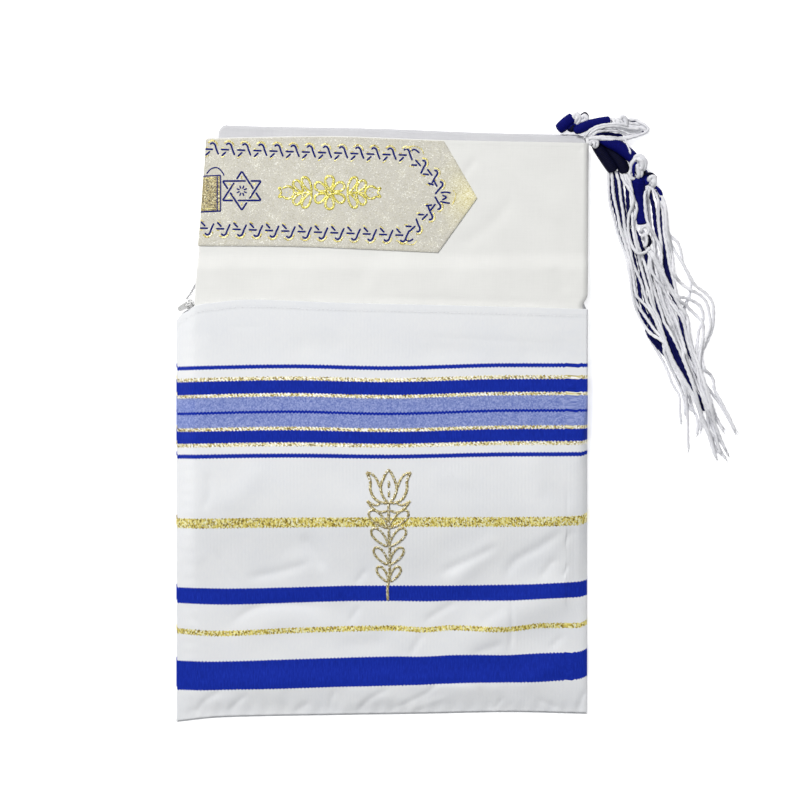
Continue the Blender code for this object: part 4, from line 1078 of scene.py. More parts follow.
navy = Finish("brocade_navy", rough=0.7, sheen=0.02, specular=0.15)
u, v, _ = navy.place()
thread = navy.noise(navy.vector(navy.math("MULTIPLY", u, 2.2), navy.math("MULTIPLY", v, 2.2)), 1.0, 2.0)
navy.colour(navy.ramp(thread, [(0.3, linear(14, 20, 88)), (0.7, linear(36, 48, 136))]))
navy.bump(wave(navy, navy.math("ADD", u, v), 0.5), 0.00008, 0.6)
navy = navy.mat
gilt = Finish("brocade_gold", rough=0.4, metal=0.35)
u, v, _ = gilt.place()
colour, cell, _ = lurex(gilt, u, v, 0.5, 0.4)
gilt.colour(colour)
gilt.bump(cell, 0.0001, 0.6)
gilt = gilt.mat

BAR = [(0.0, 0.0), (6.5, -0.1)]
HOOK = [(3.9, 3.4), (5.6, 4.7), (7.4, 3.8), (8.7, 0.4), (10.6, -4.0)]
TICK = [(4.2, -1.5), (0.7, -5.0)]
ARC = [(2.4, 4.6), (5.4, 6.5), (8.5, 5.3), (10.0, 2.2)]
UNDER = [(3.4, -4.4), (0.4, -6.4)]
border = Pile()


def braid(at, angle, flip):
    for line in (BAR, HOOK, TICK):
        ribbon(border, turned(line, at, angle, flip), band_place, 1.42, 0.36, mat=0)
    ribbon(border, turned(ARC, at, angle, flip), band_place, 1.25, 0.32, mat=1)
    ribbon(border, turned(UNDER, at, angle, flip), band_place, 1.0, 0.3, mat=1)
    ribbon(border, turned([(0.2, 1.2), (2.6, 1.3)], at, angle, flip), band_place, 0.8, 0.26, mat=1)


for k in range(-1, 12):
    x = -120.8 + 12.1 * k
    braid((x, 270.25 - 0.0306 * x), -0.03, 1.0)
for k in range(0, 13):
    x = -136.6 + 12.2 * k
    braid((x, 210.1 - 0.036 * x), -0.036, -1.0)
for x, y, turn in ((24.9, 266.2, -48), (33.9, 259.2, -52), (38.4, 251.6, -62)):
    braid((x, y), math.radians(turn), 1.0)
for x, y, turn in ((20.4, 212.2, 43), (29.8, 221.0, 45), (36.2, 228.0, 52)):
    braid((x, y), math.radians(turn), -1.0)
for line, kind in (([(43.8, 241.4), (48.2, 241.9), (51.6, 241.2)], 0), ([(43.4, 235.0), (47.6, 234.0), (51.0, 233.6)], 0),
                   ([(45.0, 239.8), (48.2, 238.0), (45.0, 236.0)], 0), ([(20.8, 272.4), (24.4, 273.8), (28.2, 271.2)], 0),
                   ([(17.0, 206.8), (20.4, 205.2), (23.6, 207.0)], 0), ([(53.0, 243.6), (55.2, 240.6), (54.6, 236.6), (52.6, 232.4)], 1),
                   ([(16.8, 274.2), (24.0, 276.4), (29.8, 273.8), (31.4, 270.0)], 1), ([(10.6, 205.8), (17.4, 203.2), (23.2, 202.6), (26.4, 205.6)], 1)):
    ribbon(border, line, band_place, 1.35 if kind == 0 else 0.85, 0.34, mat=kind)
border = border.make("atarah_braid_border", [navy, gilt], "neckband")

# six-pointed star of two woven triangles, with a small flower
STAR = (-105.0, 243.0)
motif = Pile()
for tip in (90, -90):
    corner = [(STAR[0] + 1.14 * 14.6 * math.cos(math.radians(tip + 120 * n)), STAR[1] + 14.6 * math.sin(math.radians(tip + 120 * n)))
              for n in range(3)]
    for n in range(3):
        a, b = np.array(corner[n]), np.array(corner[(n + 1) % 3])
        ribbon(motif, [a, a + (b - a) * 0.275], band_place, 1.45, 0.38, mat=0)
        ribbon(motif, [a + (b - a) * 0.39, b], band_place, 1.45, 0.38, mat=0)
for n in range(8):
    a = 2 * math.pi * (n + 0.5) / 8
    c, s = math.cos(a), math.sin(a)
    ribbon(motif, [(STAR[0] + 1.5 * c, STAR[1] + 1.5 * s), (STAR[0] + 3.0 * c, STAR[1] + 3.0 * s), (STAR[0] + 4.3 * c, STAR[1] + 4.3 * s)],
           band_place, 1.15, 0.34, mat=0)
for n in range(6):
    a0, a1 = math.radians(60 * n + 18), math.radians(60 * n + 42)
    ring = [(STAR[0] + 1.1 * 6.9 * math.cos(q), STAR[1] + 6.9 * math.sin(q)) for q in np.linspace(a0, a1, 4)]
    ribbon(motif, ring, band_place, 0.6, 0.24, mat=1)
    a = math.radians(60 * n + 30)
    ribbon(motif, [(STAR[0] + 9.4 * math.cos(a), STAR[1] + 8.6 * math.sin(a)), (STAR[0] + 12.2 * math.cos(a), STAR[1] + 11.2 * math.sin(a))],
           band_place, 1.0, 0.26, mat=1)
motif.make("atarah_star", [navy, gilt], "neckband")

# gold net panel at the band's middle, with a navy frame
net = Finish("brocade_gold_net", rough=0.45, metal=0.25)
u, v, _ = net.place()
colour, cell, _ = lurex(net, u, v, 0.6, 0.6, [(0.0, linear(72, 68, 74)), (0.16, linear(124, 112, 78)), (0.36, linear(164, 150, 104)),
                                              (0.64, linear(198, 186, 140)), (0.88, linear(232, 224, 184))], 0.5)
net.colour(colour)
net.bump(cell, 0.0001, 0.6)
net = net.mat
PANEL_L, PANEL_R, PANEL_B, PANEL_T = -139.6, -121.4, 228.3, 254.0
panel = Pile()
xs, ys = np.linspace(PANEL_L, PANEL_R, 37), np.linspace(PANEL_B, PANEL_T, 25)
grid = np.stack([band_place(xs, np.full_like(xs, y) + 0.045 * (xs - PANEL_R), 0.14) for y in ys])
flat = np.stack([np.broadcast_to(xs, grid.shape[:2]), grid[..., 1]], axis=-1)
points, faces, places = shell(grid, 0.12, 2, flat)
panel.add(points, faces, places, 0)


def slant(x, y):
    return (x, y + 0.045 * (x - PANEL_R))


for x0, x1, y in ((PANEL_L, PANEL_R + 0.8, PANEL_T + 0.5), (PANEL_L, PANEL_R + 0.8, PANEL_B - 0.5)):
    ribbon(panel, [slant(x, y) for x in np.linspace(x0, x1, 8)], band_place, 1.15, 0.4, mat=1)
for x in (PANEL_R + 0.6, PANEL_R - 2.0):
    ribbon(panel, [slant(x, y) for y in (PANEL_B - 0.5, 240.0, PANEL_T + 0.5)], band_place, 0.95, 0.4, mat=1, lift=0.06)
for y in np.arange(PANEL_B + 1.5, PANEL_T - 1, 2.7):
    ribbon(panel, [slant(PANEL_R - 0.7, y), slant(PANEL_R - 0.7, y + 1.5)], band_place, 0.9, 0.34, mat=2, lift=0.1)
for y in (PANEL_B + 1.6, PANEL_T - 1.6):
    ribbon(panel, [slant(x, y) for x in np.linspace(PANEL_L + 1, PANEL_R - 3, 6)], band_place, 0.6, 0.3, mat=2, lift=0.12)
ribbon(panel, [(-131.5, 255.6), (-128.0, 259.4), (-123.4, 260.2), (-119.4, 256.6), (-118.2, 254.0)], band_place, 1.0, 0.34, mat=1)
panel.make("atarah_gold_panel", [net, navy, gilt], "neckband")


# own gold motif: a rosette between two leafy sprigs with a pomegranate each
def leaf(at, angle, long, wide):
    """Closed outline of a leaf from its stalk."""
    t = np.linspace(0, 2 * math.pi, 17)
    x = long * (1 - np.cos(t)) / 2
    y = wide / 2 * np.sin(t) * (1 - 0.35 * np.cos(t))
    return turned(np.column_stack([x, y]), at, angle)


def fruit(at, angle, r):
    """Outline of a pomegranate with its crown."""
    t = np.linspace(math.radians(38), math.radians(322), 15)
    body = [(r - r * math.cos(q) * -1.0, r * math.sin(q)) for q in t]
    body = [(r + r * math.cos(q), r * math.sin(q)) for q in t]
    crown = [(r * 1.79, -r * 0.6), (r * 2.5, -r * 0.75), (r * 2.1, 0.0), (r * 2.5, r * 0.75), (r * 1.79, r * 0.6)]
    return turned(body, at, angle), turned(crown, at, angle)


rich = Finish("brocade_gold_thick", rough=0.38, metal=0.4)
u, v, _ = rich.place()
# The palest stops, near white, are painted highlights on the gold.
colour, cell, _ = lurex(rich, u, v, 0.55, 0.45, [(0.0, linear(132, 116, 30)), (0.10, linear(186, 168, 54)), (0.28, linear(220, 208, 84)),
                                                  (0.58, linear(240, 232, 126)), (0.82, linear(252, 248, 192)), (0.94, linear(255, 255, 246))])
rich.colour(colour)
rich.bump(cell, 0.00014, 0.7)
rich = rich.mat
gold = Pile()
MID = (-39.2, 241.6)
for n in range(6):
    a = 2 * math.pi * (n + 0.5) / 6
    ribbon(gold, leaf((MID[0] + 2.8 * math.cos(a), MID[1] + 2.8 * math.sin(a)), a, 9.6, 6.0), band_place, 2.1, 0.6, taper=False)
t = np.linspace(0, 2 * math.pi, 13)
ribbon(gold, np.column_stack([MID[0] + 1.6 * np.cos(t), MID[1] + 1.6 * np.sin(t)]), band_place, 1.7, 0.6, taper=False)
for way in (-1, 1):
    base = 0.0 if way > 0 else math.pi
    ribbon(gold, [(MID[0] + way * q, MID[1] + 0.5 * math.sin(q / 5)) for q in (12.6, 16.0, 20.0, 24.0, 27.0)], band_place, 2.0, 0.6)
    for q, up in ((14.0, 1), (14.0, -1), (20.4, 1), (20.4, -1)):
        turn = base + up * way * math.radians(62 if q < 18 else 54)
        ribbon(gold, leaf((MID[0] + way * q, MID[1] + up * 0.6), turn, 12.0 if q < 18 else 10.0, 5.2), band_place, 2.0, 0.6, taper=False)
    body, crown = fruit((MID[0] + way * 26.6, MID[1]), base, 4.6)
    ribbon(gold, body, band_place, 1.9, 0.6)
    ribbon(gold, crown, band_place, 1.7, 0.55)
    for dx, dy in ((30.0, 1.4), (30.0, -1.4), (32.2, 0.0)):
        ribbon(gold, [(MID[0] + way * dx - 0.5, MID[1] + dy), (MID[0] + way * dx + 0.5, MID[1] + dy)], band_place, 1.1, 0.5)
gold.make("atarah_gold_rosette", [rich], "neckband")

# stitching that holds the band down
row = []


def stitch_line(a, b, pitch=2.6):
    a, b = np.array(a, float), np.array(b, float)
    run = np.linalg.norm(b - a)
    for q in np.arange(pitch / 2, run, pitch):
        c = a + (b - a) * q / run
        d = (b - a) / run
        p = band_place(np.array([c[0] - d[0] * 0.5, c[0] + d[0] * 0.5]), np.array([c[1] - d[1] * 0.5, c[1] + d[1] * 0.5]))
        row.append(((p[0] + p[1]) / 2, p[1] - p[0]))


for x in np.arange(-134.0, 44.0, 16.0):
    for v in (0.016, 0.984):
        stitch_line((x, float(band_row(v, x))), (min(x + 16.0, 43.0), float(band_row(v, min(x + 16.0, 43.0)))))
for v0, v1 in ((0.02, 0.25), (0.25, 0.495), (0.505, 0.75), (0.75, 0.98)):
    ends = [(float(band_end(v)) - 1.3, float(band_row(v, float(band_end(v)) - 1.3))) for v in (v0, v1)]
    stitch_line(*ends)
band_thread = plain_cloth("sewing_thread_silver", (206, 203, 190), (222, 219, 206), 0.35)
stitches("atarah_stitching", row, band_thread, "neckband", 1.7, 0.34, 0.2, 0.0)

# ---- gold embroidery on the bag: an upright sprig of our own ------------------------------------
gold_thread = Finish("embroidery_gold_thread", rough=0.42, metal=0.45)
u, v, w = gold_thread.place()
# The palest stops, up to white, are painted highlights on the metal thread.
colour, cell, _ = lurex(gold_thread, u, v, 0.8, 0.7, [(0.0, linear(124, 104, 56)), (0.15, linear(176, 157, 98)), (0.35, linear(212, 197, 138)),
                                                       (0.58, linear(240, 230, 184)), (0.78, linear(254, 251, 232)), (0.92, linear(255, 255, 255))])
# the two threads of the cord: painted shade, dark brown where one dips under the other
twist = gold_thread.math("ABSOLUTE", gold_thread.math("COSINE", gold_thread.math("SUBTRACT", v, gold_thread.math("MULTIPLY", u, math.pi / 2.6))))
dip = gold_thread.math("POWER", gold_thread.math("SUBTRACT", 1.0, twist, clamp=True), 1.6)
gold_thread.colour(gold_thread.mix(gold_thread.math("MULTIPLY", dip, 0.72), colour, linear(100, 84, 46)))
gold_thread.bump(cell, 0.00012, 0.6)
gold_thread = gold_thread.mat
SPRIG = Pile()


def on_bag(x, y, lift=0.0):
    return np.stack([x, y, on_panel(x, y) + lift], axis=-1)


def rope(line, wide=2.2, closed=False, pitch=2.6):
    """A couched cord of two twisted threads, lying on the bag."""
    path, run = curve_through(np.asarray(line, float), 0.42)
    path3 = on_bag(path[:, 0], path[:, 1], wide * 0.20)
    along = np.arange(len(path3)) * 0.42
    n = len(path3)
    share = np.minimum(np.arange(n), n - 1 - np.arange(n)) * 0.42
    end = np.sqrt(np.clip(1 - (1 - np.clip(share / (wide * 0.45), 0, 1)) ** 2, 0.1, 1))

    def radius(i, a):
        i = i.astype(int)
        lobes = abs(np.cos(a - 2 * math.pi * along[i] / (2 * pitch)))
        return wide / 2 * (0.72 + 0.36 * lobes) * end[i]
    points, faces = tube(path3, radius, 10, squash=0.62)
    SPRIG.add(points, faces, np.stack([np.repeat(along, 10), np.tile(2 * np.pi * np.arange(10) / 10, n), np.full(10 * n, line[0][0])], axis=1))


def along_leaf(at, angle, long, wide):
    rope(leaf(at, angle, long, wide), 1.9)


CX = 5.0
rope([(CX - 0.6, -64.5), (CX - 0.9, -56), (CX + 0.4, -44), (CX + 0.9, -30), (CX + 0.2, -14), (CX, 0), (CX, 8.6)], 2.2)
for y, long, wide, turn in ((-50.0, 13.0, 5.4, 56), (-37.0, 15.5, 6.2, 52), (-23.0, 17.0, 6.8, 48), (-9.0, 18.0, 7.0, 42)):
    for side in (1, -1):
        angle = math.radians(turn) if side > 0 else math.pi - math.radians(turn)
        along_leaf((CX + side * 0.8, y), angle, long, wide)
petal = [(0, 8.6), (-4.2, 14.0), (-6.0, 20.5), (-4.2, 27.0), (0, 33.6), (4.2, 27.0), (6.0, 20.5), (4.2, 14.0), (0, 8.6)]
rope([(CX + px, py) for px, py in petal], 2.2)
for side in (1, -1):
    rope([(CX + side * px, py) for px, py in ((0.6, 9.4), (5.6, 9.6), (10.8, 13.0), (13.6, 19.2), (13.8, 26.0), (16.6, 32.4))], 2.2)
    rope([(CX + side * px, py) for px, py in ((16.6, 32.4), (11.8, 30.4), (8.6, 26.2), (6.6, 21.0))], 2.0)
    rope([(CX + side * px, py) for px, py in ((0.8, 3.6), (6.2, 2.4), (11.4, 5.0), (16.2, 11.0))], 2.0)
    rope([(CX + side * px, py) for px, py in ((16.2, 11.0), (12.6, 8.8), (9.6, 7.6), (6.4, 8.8))], 1.8)
for dy, long in ((13.6, 5.0), (20.6, 5.4)):
    rope([(CX, dy), (CX + 0.2, dy + long * 0.5), (CX, dy + long)], 2.0)
SPRIG.make("bag_gold_sprig", [gold_thread], "bag_cloth")


# ---- tassels (tzitzit) ---------------------------------------------------------------------
def thread_finish(name, stops, rough, sheen, specular, fibre=3.0, deep=0.00008):
    f = Finish(name, rough=rough, sheen=sheen, specular=specular)
    u, v, w = f.place()      # along the cord, round it, strand number
    grain = f.noise(f.vector(f.math("MULTIPLY", u, 0.9), f.math("MULTIPLY", v, fibre), w), 1.0, 3.0, 0.6)
    cloud = f.noise(f.vector(f.math("MULTIPLY", u, 0.05), w, 0.0), 1.0, 2.0)
    value = f.math("ADD", f.math("MULTIPLY", grain, 0.6), f.math("MULTIPLY", cloud, 0.4))
    f.colour(f.ramp(value, stops))
    f.bump(f.math("ADD", grain, f.math("MULTIPLY", wave(f, f.math("ADD", f.math("MULTIPLY", u, 0.5), v), 0.7), 0.4)), deep, 0.5)
    return f.mat


cord_white = thread_finish("tassel_cord_white", [(0.3, linear(214, 215, 221)), (0.52, linear(232, 232, 236)), (0.75, linear(245, 245, 247))],
                           0.55, 0.1, 0.4)
# Very dark navy cord: the blue strands of the tassels, and painted shade where these cords fill the gaps under the
# white strands.
cord_blue_and_painted_shade = thread_finish("tassel_cord_blue", [(0.3, linear(4, 6, 52)), (0.7, linear(12, 15, 88))], 0.7, 0.0, 0.08)
wound_blue = thread_finish("winding_thread_blue", [(0.3, linear(4, 6, 76)), (0.55, linear(8, 13, 102)), (0.8, linear(18, 26, 134))],
                           0.7, 0.0, 0.08)
# Near-black copy of the blue winding thread: painted shade, for the shank of tassel D and for knot cords that lie in
# shadow.
wound_painted_shade = thread_finish("winding_thread_painted_shade", [(0.3, linear(4, 5, 22)), (0.62, linear(9, 11, 44)), (0.85, linear(40, 34, 52))], 0.7, 0.0, 0.1)

spheres = {"x": [], "y": [], "z": [], "r": [], "group": []}


def remember(path, r, group):
    for p, q in zip(path, np.broadcast_to(r, (len(path),))):
        spheres["x"].append(p[0])
        spheres["y"].append(p[1])
        spheres["z"].append(p[2])
        spheres["r"].append(float(q))
        spheres["group"].append(group)


def round_places(path, sides, number):
    """Places for a cord's finish: mm along it, mm round it, its number."""
    run = np.r_[0, np.cumsum(np.linalg.norm(np.diff(path, axis=0), axis=1))]
    angle = 2 * np.pi * np.arange(sides) / sides
    return np.stack([np.repeat(run, sides), np.tile(angle, len(path)), np.full(len(path) * sides, number * 7.3)], axis=1)


def winding(pile, rows, group, mat=0, pitch=1.2, sides=22, step=0.2):
    """Thread wound round a core: rows of x, y, z, half width and half height."""
    rows, run = curve_through(rows, step)
    path, wide, high = rows[:, :3], rows[:, 3], rows[:, 4]
    tangent = unit(np.gradient(path, axis=0))
    side = unit(np.cross(tangent, [0.0, 0.0, 1.0]))
    up = np.cross(side, tangent)
    a = 2 * np.pi * np.arange(sides) / sides
    s = np.arange(len(path)) * step
    ridge = np.abs(np.sin(np.pi * s[:, None] / pitch - a[None, :] / 2 + 0.35 * np.sin(s[:, None] / 7.0)))
    k = 0.885 + 0.115 * ridge ** 0.55
    cap = np.sqrt(np.clip(1 - (1 - np.clip(np.minimum(s, s[-1] - s) / 1.2, 0, 1)) ** 2, 0.15, 1))[:, None]
    k = k * cap
    points = (path[:, None] + side[:, None] * (wide[:, None] * np.cos(a) * k)[..., None]
              + up[:, None] * (high[:, None] * np.sin(a) * k)[..., None]).reshape(-1, 3)
    points[:, 2] = np.maximum(points[:, 2], 0.05)
    idx = np.arange(len(path) * sides).reshape(len(path), sides)
    faces = np.stack([idx[:-1], idx[1:], np.roll(idx[1:], -1, 1), np.roll(idx[:-1], -1, 1)], axis=-1).reshape(-1, 4).tolist()
    faces += [idx[0].tolist(), idx[-1][::-1].tolist()]
    pile.add(points, faces, round_places(path, sides, 1 + len(pile.points)), mat)
    remember(path[::5], np.minimum(wide, high)[::5], group)


def cord(pile, path, r=1.15, mat=0, number=0, sides=10, lay=5.4, depth=0.22, ends=True, squash=1.0):
    """A cord of two twisted plies along a finished path at even steps."""
    run = np.r_[0, np.cumsum(np.linalg.norm(np.diff(path, axis=0), axis=1))]
    cap = np.ones(len(path))
    if ends:
        cap = np.sqrt(np.clip(1 - (1 - np.clip(np.minimum(run, run[-1] - run) / (r * 0.9), 0, 1)) ** 2, 0.12, 1))
    thick = 1 + 0.05 * np.sin(run / 11 + number) + 0.03 * np.sin(run / 4.1 + 2 * number)

    def radius(i, a):
        i = i.astype(int)
        return r * thick[i] * cap[i] * (1 - depth + (depth + 0.06) * np.abs(np.cos(a - math.pi * run[i] / lay)))
    points, faces = tube(path, radius, sides, squash=squash)
    points[:, 2] = np.maximum(points[:, 2], 0.04)
    pile.add(points, faces, round_places(path, sides, number), mat)


def rest_on_pile(xy, r, start_z, skip, z_cap=None):
    """Heights at which a cord lies on the table and on what is there already."""
    X, Y, Z, Rr = (np.array(spheres[k]) for k in "xyzr")
    groups = np.array(spheres["group"])
    keep = ~np.isin(groups, skip) if len(groups) else np.zeros(0, bool)
    need = np.full(len(xy), r + 0.03)
    if keep.any():
        X, Y, Z, Rr = X[keep], Y[keep], Z[keep], Rr[keep]
        for k, (x, y) in enumerate(xy):
            d2 = (X - x) ** 2 + (Y - y) ** 2
            reach = (Rr + r * 0.94) ** 2
            hit = d2 < reach
            if hit.any():
                need[k] = max(need[k], (Z[hit] + np.sqrt(reach[hit] - d2[hit])).max())
    z = need.copy()
    for _ in range(5):
        soft = np.convolve(np.pad(z, 4, mode="edge"), np.array([1, 2, 3, 4, 5, 4, 3, 2, 1]) / 25.0, mode="valid")
        z = np.maximum(need, soft)
    soft = np.convolve(np.pad(z, 2, mode="edge"), np.array([1, 2, 3, 2, 1]) / 9.0, mode="valid")
    z = np.maximum(soft, need - 0.12)
    # high up in the heap the cords press into the gaps of those below
    z = np.where(z > 7.5, 7.5 + (z - 7.5) * 0.78, z)
    if start_z is not None:
        t = ease(np.arange(len(z)) / 9.0)
        z = start_z * (1 - t) + z * t
    return z


STEP_ALONG = 0.9
lengths = {}


def strand(pile, number, view_points, group, start_z=None, skip=(), mat=0, r=1.13, wobble=0.16, frays=4):
    pts = np.array([place(*p) for p in view_points])
    path, run = curve_through(pts, STEP_ALONG)
    n = len(path)
    s = np.arange(n) * STEP_ALONG
    rng = np.random.default_rng(100 + number)
    along = unit(np.gradient(path, axis=0))
    side = np.stack([-along[:, 1], along[:, 0]], axis=1)
    ph = rng.uniform(0, 6.28, 3)
    w = wobble * (np.sin(s / 4.3 + ph[0]) + 0.8 * np.sin(s / 8.9 + ph[1])) * ease(s / 10) * 1.0
    path = path + side * w[:, None]
    z = rest_on_pile(path, r, start_z, list(skip) + [group + "_own%d" % number])
    path3 = np.column_stack([path, z])
    cord(pile, path3, r, mat, number)
    remember(path3[2:], r, group)
    lengths[number] = run
    # frayed end
    tip, way = path3[-1], unit(path3[-1] - path3[-4])
    across = np.array([-way[1], way[0], 0.0])
    for q in range(frays):
        spread = rng.uniform(-0.75, 0.75)
        long = rng.uniform(1.2, 3.6)
        t = np.linspace(-0.15, 1, 7)[:, None]
        bend = rng.uniform(-0.5, 0.5)
        fibre = (tip + way * (t * long) + across * (spread * (0.6 * r * 0.8 + t * long * 0.55) + bend * t**2 * long * 0.4)
                 + np.array([0, 0, 1.0]) * rng.uniform(-0.5, 0.5) * r * (1 - t))
        fibre[:, 2] = np.maximum(fibre[:, 2] - t[:, 0] * (tip[2] - 0.3) * 0.6, 0.2)
        points, faces = tube(fibre, np.linspace(0.26, 0.12, 7), 5)
        points[:, 2] = np.maximum(points[:, 2], 0.03)
        pile.add(points, faces, np.column_stack([points[:, 0], points[:, 1], np.full(len(points), number * 7.3)]), mat)


def knot(pile, at, angle, r, long, group, mats=(0, 0, 0), turns=2.2, slant=1.3, number=0, tops=1, cord_r=1.25):
    """A tight knot: slanted turns of cord round a core, and cords over it."""
    c = np.array(at, float)
    axis = np.array([math.cos(angle), math.sin(angle), 0.0])
    side = np.array([-axis[1], axis[0], 0.0])
    up = np.array([0, 0, 1.0])
    q = np.linspace(-1, 1, 9)[:, None]
    core = c + axis * q * long * 0.42
    points, faces = tube(core, (r - cord_r * 1.1) * np.sqrt(np.clip(1 - (q[:, 0] * 0.92) ** 2, 0.05, 1)), 12)
    points[:, 2] = np.maximum(points[:, 2], 0.05)
    pile.add(points, faces, round_places(core, 12, number), mats[0])
    t = np.linspace(0, 1, int(turns * 22))
    a = 2 * math.pi * turns * t + number
    ring = r - cord_r
    path = (c + axis * ((t - 0.5) * long * 0.72 + slant * np.cos(a + 0.6))[:, None]
            + side * (ring * np.cos(a))[:, None] + up * (ring * np.sin(a))[:, None])
    path[:, 2] = np.maximum(path[:, 2], cord_r * 0.8)
    cord(pile, path, cord_r, mats[1], 60 + number)
    for n in range(tops):
        off = (n - (tops - 1) / 2) * cord_r * 2.0
        line = [c - axis * long * 0.52 + side * off * 0.6 + up * (r * 0.1), c - axis * long * 0.28 + side * off + up * (r * 0.86),
                c + up * (r * 1.12) + side * (off + 0.4), c + axis * long * 0.30 + side * off + up * (r * 0.84),
                c + axis * long * 0.54 + side * off * 0.6 + up * (r * 0.0)]
        path, _ = curve_through(line, 0.6)
        path[:, 2] = np.maximum(path[:, 2], cord_r)
        cord(pile, path, cord_r * 0.95, mats[2], 80 + number + n)
    remember(core, r * np.sqrt(np.clip(1 - (q[:, 0] * 0.7) ** 2, 0.2, 1)), group)


TASSEL_MATS = [wound_blue, cord_white, cord_blue_and_painted_shade, wound_painted_shade]


def loops(pile, number, group, *lines):
    """Cords of a knot: (points of x, y in the view and height, radius, material)."""
    for k, (line, r, mat) in enumerate(lines):
        pts = [(*place(x, y), z) for x, y, z in line]
        path, _ = curve_through(pts, 0.55)
        path[:, 2] = np.maximum(path[:, 2], r)
        cord(pile, path, r, mat, number + k, lay=6.4, sides=12)
        remember(path[::3], r, group)


# tassel A: wound shank at the back, its hidden stretch, and its second knot
piece = Pile()
winding(piece, [(132.2, 289.4, 4.4, 3.6, 3.6), (134.4, 291.2, 4.6, 4.4, 4.4), (139.5, 295.6, 4.7, 4.6, 4.5), (144.2, 299.0, 4.7, 4.4, 4.3)],
        "wa")
winding(piece, [(139.0, 290.9, 3.6, 2.2, 2.4), (141.5, 291.3, 4.0, 3.3, 3.3), (145.5, 291.5, 4.4, 3.6, 3.4), (149.0, 291.0, 4.8, 2.6, 2.6)], "wa")
knot(piece, (146.6, 298.2, 4.8), math.radians(-30), 4.0, 6.4, "ka", (1, 1, 1), 1.4, 1.0, 1, 0)
# The last three cords, in the near-black thread, are painted shade: the dark arc over the knot and the shadow between
# tassels A and B.
loops(piece, 40, "ka",
      ([(574.6, 121.5, 5), (573.8, 116.8, 7.4), (576.8, 113.8, 8.6), (579.4, 116.6, 8.4), (579.2, 121.0, 7.6), (576.8, 124.0, 6)], 1.75, 1),
      ([(575.6, 123.0, 5), (577.2, 118.0, 9.0), (577.8, 114.2, 7.6)], 1.6, 1),
      ([(582.2, 122.5, 4), (582.2, 117.6, 6.4), (585.0, 115.2, 7.4), (587.4, 118.2, 7.2), (586.6, 122.4, 5.6), (583.4, 123.6, 4.4)], 1.7, 1),
      ([(579.6, 121.6, 6), (582.4, 120.6, 7.6), (585.4, 121.0, 7.4)], 1.6, 1),
      ([(581.0, 116.6, 4.2), (582.6, 113.8, 5.6), (585.2, 112.6, 6.4), (587.6, 114.4, 5.6), (588.6, 117.4, 4)], 1.05, 3),
      ([(576.4, 124.6, 4.8), (572.6, 127.6, 5.6), (569.4, 130.2, 5.2)], 2.3, 3),
      ([(582.6, 123.6, 5.6), (578.0, 126.8, 5.0), (573.4, 130.0, 4.6)], 2.2, 3))
tassel_a = piece.make("tassel_a_wound_shank", TASSEL_MATS, "winding_thread")
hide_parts("tassel_a_winding")

piece = Pile()
winding(piece, [(155.6, 295.2, 1.5, 3.2, 1.3), (163.5, 289.0, 1.5, 4.0, 1.35), (174.8, 281.5, 1.5, 4.0, 1.35),
                (187.0, 271.0, 1.5, 4.0, 1.35), (192.5, 262.0, 2.0, 4.4, 1.8), (197.0, 254.5, 3.6, 4.6, 3.2), (199.8, 248.0, 4.0, 4.3, 3.6)],
        "la")
knot(piece, (203.0, 250.4, 4.6), math.radians(-62), 3.4, 6.6, "ke", (1, 1, 1), 1.3, 0.9, 3, 0)
# The third cord, in the near-black thread, is painted shade over the knot.
loops(piece, 50, "ke",
      ([(649.6, 181.4, 6.4), (649.8, 177.8, 8.0), (653.2, 176.6, 8.8), (655.4, 179.6, 8.2), (654.6, 183.6, 7.4), (652.4, 187.0, 6.2)], 1.75, 1),
      ([(651.8, 179.4, 8.6), (653.6, 182.0, 8.6), (652.6, 186.4, 7.0)], 1.6, 1),
      ([(643.6, 174.0, 6.6), (648.4, 173.4, 9.0), (652.8, 174.2, 8.8), (656.0, 176.6, 7.0), (656.8, 179.6, 5.0)], 1.05, 3),
      ([(655.6, 185.6, 3.6), (658.8, 188.6, 5.4), (661.2, 192.4, 5.8), (662.4, 196.6, 5.4), (661.2, 201.0, 4.4), (659.6, 203.6, 3.2)], 1.45, 0))
tassel_a_link = piece.make("tassel_a_under_stretch", TASSEL_MATS, "winding_thread")
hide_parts("tassel_a_link")

# tassel B: out of the top corner to the right
piece = Pile()
winding(piece, [(144.2, 287.9, 7.6, 2.6, 2.6), (148.0, 289.6, 8.6, 3.7, 3.3), (154.5, 292.4, 8.7, 3.9, 3.6), (163.5, 294.8, 7.6, 3.8, 3.8),
                (171.4, 296.1, 6.0, 3.8, 3.9)], "wb")
knot(piece, (175.6, 294.8, 5.2), math.radians(-8), 4.3, 8.0, "kb", (1, 1, 1), 1.7, 1.0, 4, 0)
loops(piece, 55, "kb",
      ([(611.0, 118.6, 6.6), (613.4, 119.2, 9.6), (614.2, 123.6, 9.4), (612.4, 127.4, 6.4)], 1.8, 1),
      ([(614.2, 118.0, 6.6), (617.4, 119.4, 9.8), (618.4, 124.0, 9.4), (616.4, 128.0, 6.0)], 1.8, 1),
      ([(618.6, 120.4, 8.8), (621.4, 117.0, 8.8), (625.0, 118.0, 8.4), (626.4, 122.4, 7.4), (623.6, 126.0, 6.4), (619.6, 126.4, 6.0)], 1.8, 1),
      ([(620.6, 119.0, 9.2), (622.2, 123.0, 8.6), (626.6, 125.6, 6.4)], 1.5, 1))
tassel_b = piece.make("tassel_b_wound_shank", TASSEL_MATS, "winding_thread")
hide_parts("tassel_b_winding")
